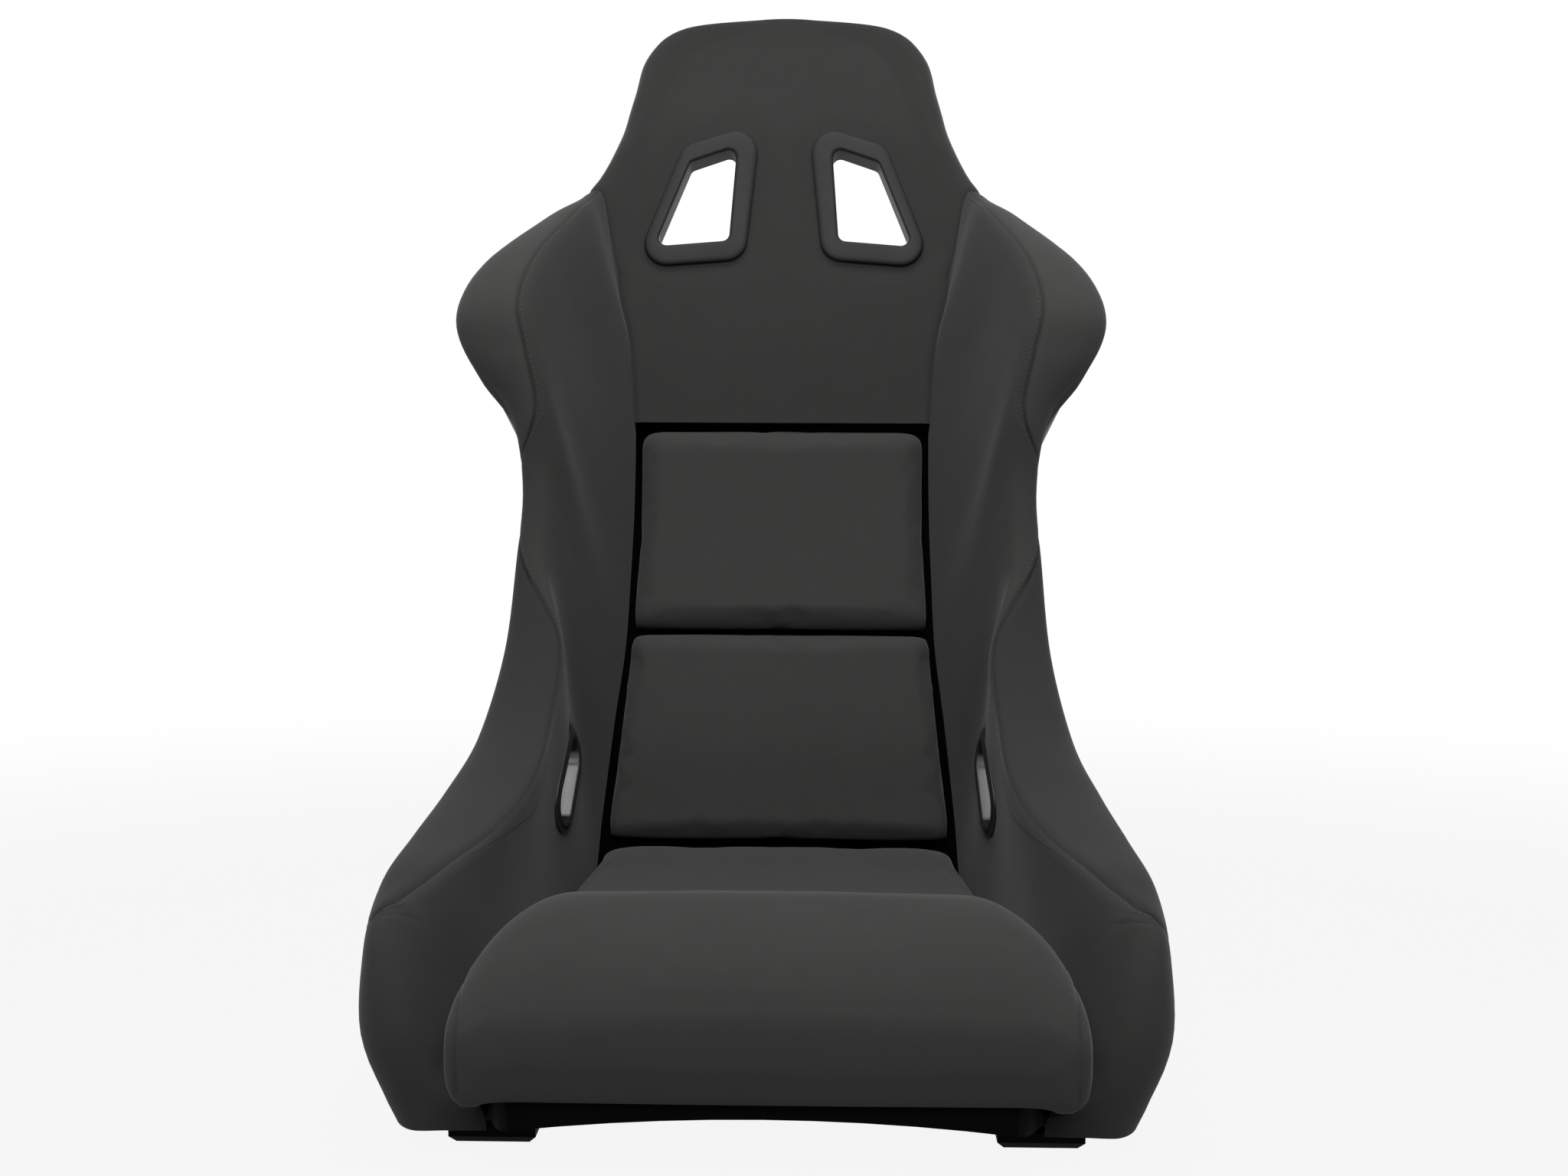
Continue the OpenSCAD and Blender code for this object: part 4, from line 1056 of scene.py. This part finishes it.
lap_ring = ring([lap_ring_loop(*p) for p in (
    (0, 1.6), (0.6, 2.5), (1.8, 3.1), (3.4, 3.3), (5.2, 3.1), (7.2, 2.6), (8.8, 2.0), (9.7, 1.4),
    (LAP_FLANGE, LAP_LIFT), (BEZEL_WALL, LAP_LIFT), (BEZEL_WALL, 2.4, True), (0, 2.4, True))])
outer_lap_ring = ring([lap_ring_loop(*p) for p in (
    (2.8, 2.4, True), (2.8, LAP_LIFT, True), (LAP_FLANGE, LAP_LIFT, True),
    (LAP_FLANGE, 1.4, True), (9.2, 2.0, True), (8, 2.4, True), (5, 2.7, True))])
for part_name, body_mesh in (("shoulder_bezel", front_ring), ("rear_bezel", rear_ring),
                             ("lap_bezel", lap_ring), ("outer_lap_bezel", outer_lap_ring)):
    for side, sign in SIDES:
        ob = joined(f"{side}_{part_name}", [on_side(body_mesh, sign)])
        soften(ob, 32)
        stuff = LAP_PLASTIC if part_name == "lap_bezel" else BEZEL_PLASTIC
        dress(ob, stuff, BEZEL_SLOT, "seat", f"{side}_{part_name}")


# ---------------------------------------------------------------- soft pieces
def welded(name, node):
    """A merged copy of a CAD node's mesh."""
    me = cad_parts[node].data.copy()
    me.name = name
    reworked(me, lambda bm: (bmesh.ops.remove_doubles(bm, verts=bm.verts, dist=1e-5),
                             bmesh.ops.recalc_face_normals(bm, faces=bm.faces)))
    me.materials.clear()
    return linked(name, me)


def remesh(ob, voxel):
    """Gives a closed form an even mesh."""
    modify(ob, "REMESH", mode="VOXEL", voxel_size=voxel * MM)


def plump(ob, pressure, most, frames, hold):
    """Lets a closed cloth form swell under pressure, by no more than a few millimetres."""
    rest = points_of(ob)
    m = ob.modifiers.new("swell", "CLOTH")
    m.settings.use_pressure = True
    m.settings.uniform_pressure_force = pressure
    m.settings.effector_weights.gravity = 0
    m.settings.quality = 6
    scene = bpy.context.scene
    for f in range(1, frames + 1):
        scene.frame_set(f)
    settle(ob)
    scene.frame_set(1)
    moved = points_of(ob) - rest
    far = np.linalg.norm(moved, axis=1, keepdims=True)
    share = np.minimum(1, most * MM / np.maximum(far, 1e-9))
    share = share * hold(rest)[:, None]
    set_points(ob, rest + moved * share)
    modify(ob, "SMOOTH", iterations=3, factor=0.4)


def fine(ob):
    """Divides a cloth form once more and shades it smooth."""
    modify(ob, "SUBSURF", levels=1, render_levels=1)
    shade_smooth(ob)


def shade_smooth(ob):
    for p in ob.data.polygons:
        p.use_smooth = True


def channel(ob, lines, depth, width, puff):
    """Draws a cloth form into its seams."""
    v = points_of(ob)
    sink = drawn_in(millimetres(v), lines, depth, width, puff)
    set_points(ob, v + vertex_normals(ob) * (sink * MM)[:, None])


def keep_under(ob, side):
    """Presses a bolster's foam in where it would reach the cover."""
    turn = np.array([side, 1, 1])
    p = millimetres(points_of(ob)) * turn
    for k, q in enumerate(p):
        spot, normal, _, far = cover_tree.find_nearest(Vector(q))
        over = (Vector(q) - spot).dot(normal) + COVER_T + FOAM_ROOM
        if over > 0 and far < FOAM_REACH:
            p[k] = q - np.array(normal) * over
    set_points(ob, metres(p * turn))


FOAM_ROOM, FOAM_REACH, FOAM_SHRINK = 1.2, 32.0, 1.6
for node in ("left_bolster_foam", "right_bolster_foam", "head_foam"):
    core = welded(node + "_core", node)
    remesh(core, 4.0 if node == "head_foam" else 5.0)
    modify(core, "SMOOTH", iterations=2, factor=0.3)
    set_points(core, points_of(core) - vertex_normals(core) * FOAM_SHRINK * MM)
    if node != "head_foam":
        keep_under(core, 1 if node.startswith("left") else -1)
    shade_smooth(core)
    dress(core, FOAM, FOAM_SLOT, "seat", node)


# ---------------------------------------------------------------- back pads
STRIP_LIFT, STRIP_T = 0.9, 1.6
PAD_LIFT = STRIP_LIFT + STRIP_T + 2 * FIT_GAP
PAD_ROUND, PAD_CROWN, PAD_LEAN = 13.0, 3.0, 0.2
grid_s = np.linspace(LOIN, CROWN, 1201)
middle_z, foot_z = along(MIDDLE, grid_s)[:, 1], along(FOOT, grid_s)[:, 1]


def middle_way(s):
    """Direction of the back line at a station."""
    return unit(along(MIDDLE, s + 0.1) - along(MIDDLE, s - 0.1))


def back_point(x, z, depth):
    """Points at a depth over the flat back, at a height z along it."""
    s = np.interp(z - PAD_LEAN * PAD_T, middle_z, grid_s)
    p, t = along(MIDDLE, s), middle_way(s)
    return np.stack(np.broadcast_arrays(x, p[..., 0] - depth * t[..., 1],
                                        p[..., 1] + depth * t[..., 0]), -1)


def pad_half(z):
    """Half width of a back pad at a height, beside the bolster faces."""
    s = np.interp(z, foot_z, grid_s)
    return along(HALF, s) - along(INSET, s)[..., 0] - PAD_SIDE_GAP


def fall(e):
    """How far a rounded edge falls away, at a distance from the edge."""
    e = np.minimum(e, PAD_ROUND)
    return PAD_ROUND - np.sqrt(np.maximum(PAD_ROUND ** 2 - (PAD_ROUND - e) ** 2, 0))


def corner_cut(z, high, rounded):
    """How far a rounded upper corner takes a pad's side in at a height."""
    return fall(np.maximum(high - z, 0)) * 0.85 if rounded else 0 * z


def back_pad(name, low, high, rounded, node, body):
    """A back pad between two heights, crowned, with a soft edge and a boxing seam."""
    ease = 0.5 - 0.5 * np.cos(np.linspace(0, math.pi, 57))
    z = low + (high - low) * (0.35 * np.linspace(0, 1, 57) + 0.65 * ease)
    k = np.linspace(-1, 1, 81)
    k = 0.45 * k + 0.55 * np.sin(k * math.pi / 2)
    zz, kk = np.meshgrid(z, k, indexing="ij")
    e = np.minimum(zz - low, high - zz)
    half = pad_half(zz) - corner_cut(zz, high, rounded) + 0.6
    ex = half * (1 - np.abs(kk))
    top = PAD_T + PAD_CROWN * (1 - kk * kk) - fall(e) - fall(ex) - 1.2
    face = back_point(half * kk, zz, np.maximum(top, PAD_LIFT + 4.5))
    pull = np.where(e < PAD_ROUND, np.where(zz - low < high - zz, 1, -1) * (1 - e / PAD_ROUND), 0)
    under = back_point((half - 3) * kk, zz + 3 * pull, np.full_like(zz, PAD_LIFT + 0.5))
    ob = joined(name, [skin(face, under)[:2]])
    remesh(ob, 4.0)
    rear = lambda v: np.clip((pad_depth(v) - PAD_LIFT - 3) / 8, 0, 1)
    plump(ob, 3.0, 2.6, 14, rear)
    fine(ob)
    channel(ob, [pad_seam(low, high, rounded)], 0.9, 1.8, 0.3)
    dress(ob, PAD_CLOTH, CUSHION_SLOT, body, node)


def pad_depth(v):
    """Height of points over the back line, in millimetres."""
    p = millimetres(v)
    line, tang = along(MIDDLE, grid_s), middle_way(grid_s)
    d = ((p[:, None, 1:] - line[None, ::6]) ** 2).sum(-1)
    i = d.argmin(1) * 6
    away = p[:, 1:] - line[i]
    return -away[:, 0] * tang[i, 1] + away[:, 1] * tang[i, 0]


def pad_seam(low, high, rounded):
    """Line of the boxing seam round a pad, low on its sides."""
    z = np.linspace(low + 1.5, high - 1.5, 40)
    right = back_point(pad_half(z) - corner_cut(z, high, rounded) + 0.8, z, PAD_T - 15)
    return np.concatenate([right, mirror_points(right)[::-1], right[:1]])


back_pad("upper_back_cushion", PAD_SPLIT + PAD_SPLIT_GAP / 2 - 2.2, PAD_TOP + 2.2, True,
         "upper_back_pad", "upper_pad")
back_pad("lower_back_cushion", PAD_LOW - 3.0, PAD_SPLIT - PAD_SPLIT_GAP / 2 + 0.6, False,
         "lower_back_pad", "lower_pad")


# ---------------------------------------------------------------- seat cushion
# Sections of the cushion from rear to front: y, top, underside in the middle, underside at
# the sides, half width, and the width and height of the round of its upper edge
SLICES = np.array([
    [112, 152, 76, 76, REAR_HALF - 7, 8, 8], [106, 160, 68, 68, REAR_HALF - 3, 11, 11],
    [80, 158, 56, 56, REAR_HALF, 12, 12], [40, 149, 42, 42, REAR_HALF + 10, 12, 12],
    [-20, 141, 47, 47, REAR_HALF + 20, 12, 12], [-80, 146, 63, 63, ROLL_HALF - 34, 14, 14],
    [-130, 158, 82, 82, ROLL_HALF - 30, 26, 22],
    [-170, ROLL_TOP - 11, 98.1, 92, ROLL_HALF - 24, 48, 52],
    [-200, ROLL_TOP - 2, 110, 92, ROLL_HALF - 13, 66, 74],
    [-229, ROLL_TOP + 1, 114, 66, ROLL_HALF, 80, 84],
    [-252, ROLL_TOP - 5, 113, 60, ROLL_HALF + 3, 84, 78],
    [-272, ROLL_TOP - 21, 98, 56, ROLL_HALF + 4, 84, 62],
    [-281, ROLL_TOP - 33, 60, 54, ROLL_HALF + 3, 82, 50],
    [-289, ROLL_TOP - 49, 68, 66, ROLL_HALF, 74, 36],
    [-294, ROLL_TOP - 64, 86, 84, ROLL_HALF - 12, 50, 16]], float)
ROLL_SHIFT, SLICE_PLAY = 3.5, 0.8


def half_slice(c):
    """Half a section of the cushion, as (x, z) from the middle of its top."""
    half, a, b, low = c[4] - 1.0, c[5], c[6], c[3] + 0.8
    t = np.radians(np.arange(0, 91, 9))
    arc = np.stack([half - a + a * np.sin(t), c[1] - 1.0 - b + b * np.cos(t)], 1)
    mid = (c[1] - b + low) / 2
    return np.concatenate([[[0.02 * half, c[1] + 0.5], [0.25 * half, c[1] + 0.4],
                            [0.5 * (half - a), c[1] - 0.2]], arc,
                           [[half - 0.4, mid], [half - 2, low + 14], [half - 5, low + 5],
                            [half - 11, low + 0.5], [half - 25, low - 0.4],
                            [half - 45, c[2] - 0.2], [0.3 * half, c[2] - 1.2],
                            [0.02 * half, c[2] - 1.2]]])


def slice_loop(t):
    """A whole section, at a place between the rows of the table."""
    k = min(int(t), len(SLICES) - 2)
    rows = [half_slice(SLICES[min(max(j, 0), len(SLICES) - 1)]) for j in range(k - 1, k + 3)]
    low, high = np.minimum(*rows[1:3]), np.maximum(*rows[1:3])
    h = np.clip(spline(*rows, t - k), low - SLICE_PLAY, high + SLICE_PLAY)
    y = SLICES[k, 0] + (SLICES[k + 1, 0] - SLICES[k, 0]) * (t - k)
    right = np.stack([h[:, 0], np.full(len(h), y), h[:, 1]], 1)
    off = ROLL_SHIFT * smooth((-150 - y) / 70)
    return np.concatenate([right, mirror_points(right)[::-1]]) + np.array([off, 0, 0])


stations = np.unique(np.concatenate([np.linspace(0, 14, 57), np.linspace(12, 14, 17)]))
loops = np.array([slice_loop(s) for s in stations])
p, f = ring(list(loops), False)
m = loops.shape[1]
f = f + [tuple(range(m)), tuple(range(len(p) - 1, len(p) - m - 1, -1))]
cushion = joined("seat_cushion_cloth", [(p, f)])
remesh(cushion, 5.0)
plump(cushion, 3.5, 4.0, 16, lambda v: np.clip((v[:, 2] / MM - 70) / 40, 0, 1))
fine(cushion)


cushion_tree = BVHTree.FromObject(cushion, bpy.context.evaluated_depsgraph_get())


def hits_on_cushion(starts, way):
    """Where rays from points in metres meet the cushion, in millimetres."""
    hits = [cushion_tree.ray_cast(Vector(p), Vector(way))[0] for p in starts]
    return np.array([millimetres(h) for h in hits if h])


def end_seam(x):
    """Line of the seam between the roll and its end cap, over its top and down its front."""
    top = hits_on_cushion([(x * MM, (y - CENTRE_Y) * MM, 0.4)
                           for y in np.arange(-120, -291, -2.0)], (0, 0, -1))
    front = hits_on_cushion([(x * MM, -0.5, z * MM)
                             for z in np.arange(148, 62, -2.0)], (0, 1, 0))
    return np.concatenate([top[top[:, 2] > front[0, 2]], front])


CUSHION_SEAMS = [end_seam(ROLL_SHIFT + side * (ROLL_HALF - 8.0)) for side in (1, -1)]
channel(cushion, CUSHION_SEAMS, 0.9, 1.6, 0.35)
mark_seam_shade(cushion, CUSHION_SEAMS, 0.9)
dress(cushion, PAD_CLOTH, CUSHION_SLOT, "cushion", "seat_cushion")


# ---------------------------------------------------------------- stitches
def stitch_tree(material):
    """Rounded stitches along curves, with their pitch, length and thickness as inputs."""
    tree = bpy.data.node_groups.new("stitch_rows", "GeometryNodeTree")
    face = tree.interface
    face.new_socket("Geometry", in_out="INPUT", socket_type="NodeSocketGeometry")
    sizes = {}
    for name in ("Pitch", "Stitch Length", "Thread"):
        sizes[name] = face.new_socket(name, in_out="INPUT", socket_type="NodeSocketFloat")
    face.new_socket("Geometry", in_out="OUTPUT", socket_type="NodeSocketGeometry")

    def add(kind, links=(), **values):
        n = tree.nodes.new(kind)
        for key, value in values.items():
            setattr(n, key, value)
        for key, source in dict(links).items():
            if hasattr(source, "node"):
                tree.links.new(source, n.inputs[key])
            else:
                n.inputs[key].default_value = source
        return n

    given = add("NodeGroupInput")
    points = add("GeometryNodeCurveToPoints", {"Curve": given.outputs["Geometry"],
                 "Length": given.outputs["Pitch"]}, mode="LENGTH")
    ball = add("GeometryNodeMeshUVSphere", {"Segments": 8, "Rings": 6, "Radius": 0.5})
    ball = add("GeometryNodeSetShadeSmooth", {"Geometry": ball.outputs["Mesh"]})
    size = add("ShaderNodeCombineXYZ", {"X": given.outputs["Thread"], "Y": given.outputs["Thread"],
               "Z": given.outputs["Stitch Length"]})
    rows = add("GeometryNodeInstanceOnPoints", {"Points": points.outputs["Points"],
               "Instance": ball.outputs["Geometry"], "Rotation": points.outputs["Rotation"],
               "Scale": size.outputs["Vector"]})
    real = add("GeometryNodeRealizeInstances", {"Geometry": rows.outputs["Instances"]})
    add("NodeGroupOutput", {"Geometry": add("GeometryNodeSetMaterial", {
        "Geometry": real.outputs["Geometry"], "Material": material}).outputs["Geometry"]})
    return tree, {name: s.identifier for name, s in sizes.items()}


def stitch_rows(name, lines, pitch, length, thread, body):
    """A plain mesh of stitches along lines given in undrawn millimetres."""
    curve = bpy.data.curves.new(name, "CURVE")
    curve.dimensions = "3D"
    for line in lines:
        q = metres(dense(line, 1.5))
        spline = curve.splines.new("POLY")
        spline.points.add(len(q) - 1)
        for k, co in enumerate(q):
            spline.points[k].co = (*co, 1)
    source = linked(name + "_path", curve)
    tree, ids = stitch_tree(THREAD)
    m = source.modifiers.new("stitches", "NODES")
    m.node_group = tree
    for key, size in (("Pitch", pitch), ("Stitch Length", length), ("Thread", thread)):
        m[ids[key]] = size * MM
    me = mesh_now(source)
    bpy.data.objects.remove(source)
    dress(linked(name, me), THREAD, COVER_SLOT, body)


sewn_tree = surface_tree(cover_grid)


def beside(s0, s1, inset, n=200):
    """A line on the cloth a little to the face side of the panel seams."""
    s = np.linspace(s0, s1, n)
    step = 0.02
    w = seam_w(s)
    run = np.linalg.norm(cover_part(s, w) - cover_part(s, w - step), axis=1) / step
    line = cover_part(s, w - inset / run)
    out = []
    for q in line:
        spot, normal = sewn_tree.find_nearest(Vector(q))[:2]
        out.append(np.array(spot) + np.array(normal) * 0.12)
    return np.array(out)


STITCH_INSET = 4.2
stitch_lines = [beside(NOSE_TOP + 0.25, HIP_TOP - 0.25, STITCH_INSET),
                beside(WING_LOW + 0.3, NECK - 0.2, STITCH_INSET)]
stitch_rows("panel_stitches", stitch_lines + mirrored(stitch_lines), 4.4, 2.9, 0.75, "seat")


# ---------------------------------------------------------------- small hard parts
for stuff, nodes in ((SKID_NYLON_PAINTED_SHADE, ("left_base_skid", "right_base_skid")),
                     (ZINC, ("skid_screws", "base_inserts", "side_inserts", "bezel_screws")),
                     (HOOKS, ("hook_strips",))):
    for node in nodes:
        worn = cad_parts[node].data.materials
        worn.clear()
        worn.append(stuff)


# ---------------------------------------------------------------- camera
FRAME_WIDTH, FOCAL_LENGTH = 2048, 2783      # in pixels of the frame
SENSOR = 36.0
CAMERA_AT, CAMERA_TURN = (0.044, -1.674, 0.494), (-1.28, -3.82, 0.26)     # yaw, pitch, roll


def camera():
    yaw, pitch, roll = np.radians(CAMERA_TURN)
    ahead = Vector((math.sin(yaw) * math.cos(pitch), math.cos(yaw) * math.cos(pitch),
                    math.sin(pitch)))
    right = Vector((math.cos(yaw), -math.sin(yaw), 0))
    up = right.cross(ahead)
    right, up = (right * math.cos(roll) + up * math.sin(roll),
                 up * math.cos(roll) - right * math.sin(roll))
    data = bpy.data.cameras.new("camera")
    data.sensor_width, data.sensor_fit = SENSOR, "HORIZONTAL"
    data.lens = FOCAL_LENGTH / FRAME_WIDTH * SENSOR
    data.clip_start, data.clip_end = 0.05, 60
    ob = linked("camera", data)
    m = Matrix((right, up, -ahead)).transposed().to_4x4()
    m.translation = CAMERA_AT
    ob.matrix_world = m
    bpy.context.scene.camera = ob


def lamp(name, place_at, look_at, size, watts):
    data = bpy.data.lights.new(name, "AREA")
    data.shape = "RECTANGLE"
    data.size, data.size_y = size
    data.energy = watts
    ob = linked(name, data)
    ob.location = place_at
    ob.rotation_euler = (Vector(look_at) - Vector(place_at)).to_track_quat("-Z", "Y").to_euler()


def white_seen(name, share, base):
    """A pale stuff that reads white to the eye and to gloss, and still takes a shadow near
    the seat."""
    shop = new_material(name)
    x, y, _ = shop.axes(shop.place())
    away = ((x * x + y * y) ** 0.5).between(0.9, 2.6)
    flat = shop.node("BsdfDiffuse", None, {"Color": base})
    bright = shop.node("Emission", None, {"Color": WHITE, "Strength": 1.0})
    return shop.surface(shop.node("MixShader", None, {
        0: shop.seen() * (away * (1 - share) + share), 1: flat, 2: bright}))


for old in ("Cube", "Light", "Camera"):
    if old in bpy.data.objects:
        bpy.data.objects.remove(bpy.data.objects[old])
WHITE, AMBIENT = (1, 1, 1), 0.14
FLOOR_HALF, FLOOR_Z = 9000, -0.4
corners = ((-1, -1), (1, -1), (1, 1), (-1, 1))
floor = new_object("floor", [[x * FLOOR_HALF, y * FLOOR_HALF, FLOOR_Z] for x, y in corners],
                   [(0, 1, 2, 3)])
floor.data.materials.append(white_seen("pale_floor", 0.9, (0.2, 0.2, 0.2)))
camera()
# Lamps: place, height that they look at, size and watts
for name, place_at, aim, size, watts in (
        ("overhead", (0.0, -0.5, 2.5), 0.4, (1.4, 1.2), 32),
        ("front", (0.0, -2.5, 2.0), 0.45, (1.8, 1.1), 55),
        ("left_side", (2.6, -0.2, 1.1), 0.45, (1.4, 1.6), 7),
        ("right_side", (-2.6, -0.2, 1.1), 0.45, (1.4, 1.6), 7),
        ("behind", (0.0, 2.8, 1.6), 0.5, (2.4, 1.6), 30)):
    lamp(name, place_at, (0, 0, aim), size, watts)

world = bpy.data.worlds.new("studio")
bpy.context.scene.world = world
sky = Shop(world, "OutputWorld")
sky.surface(sky.node("Background", None, {
    "Color": WHITE, "Strength": sky.seen() * (1 - AMBIENT) + AMBIENT}))

bpy.context.scene.view_settings.view_transform = "Standard"
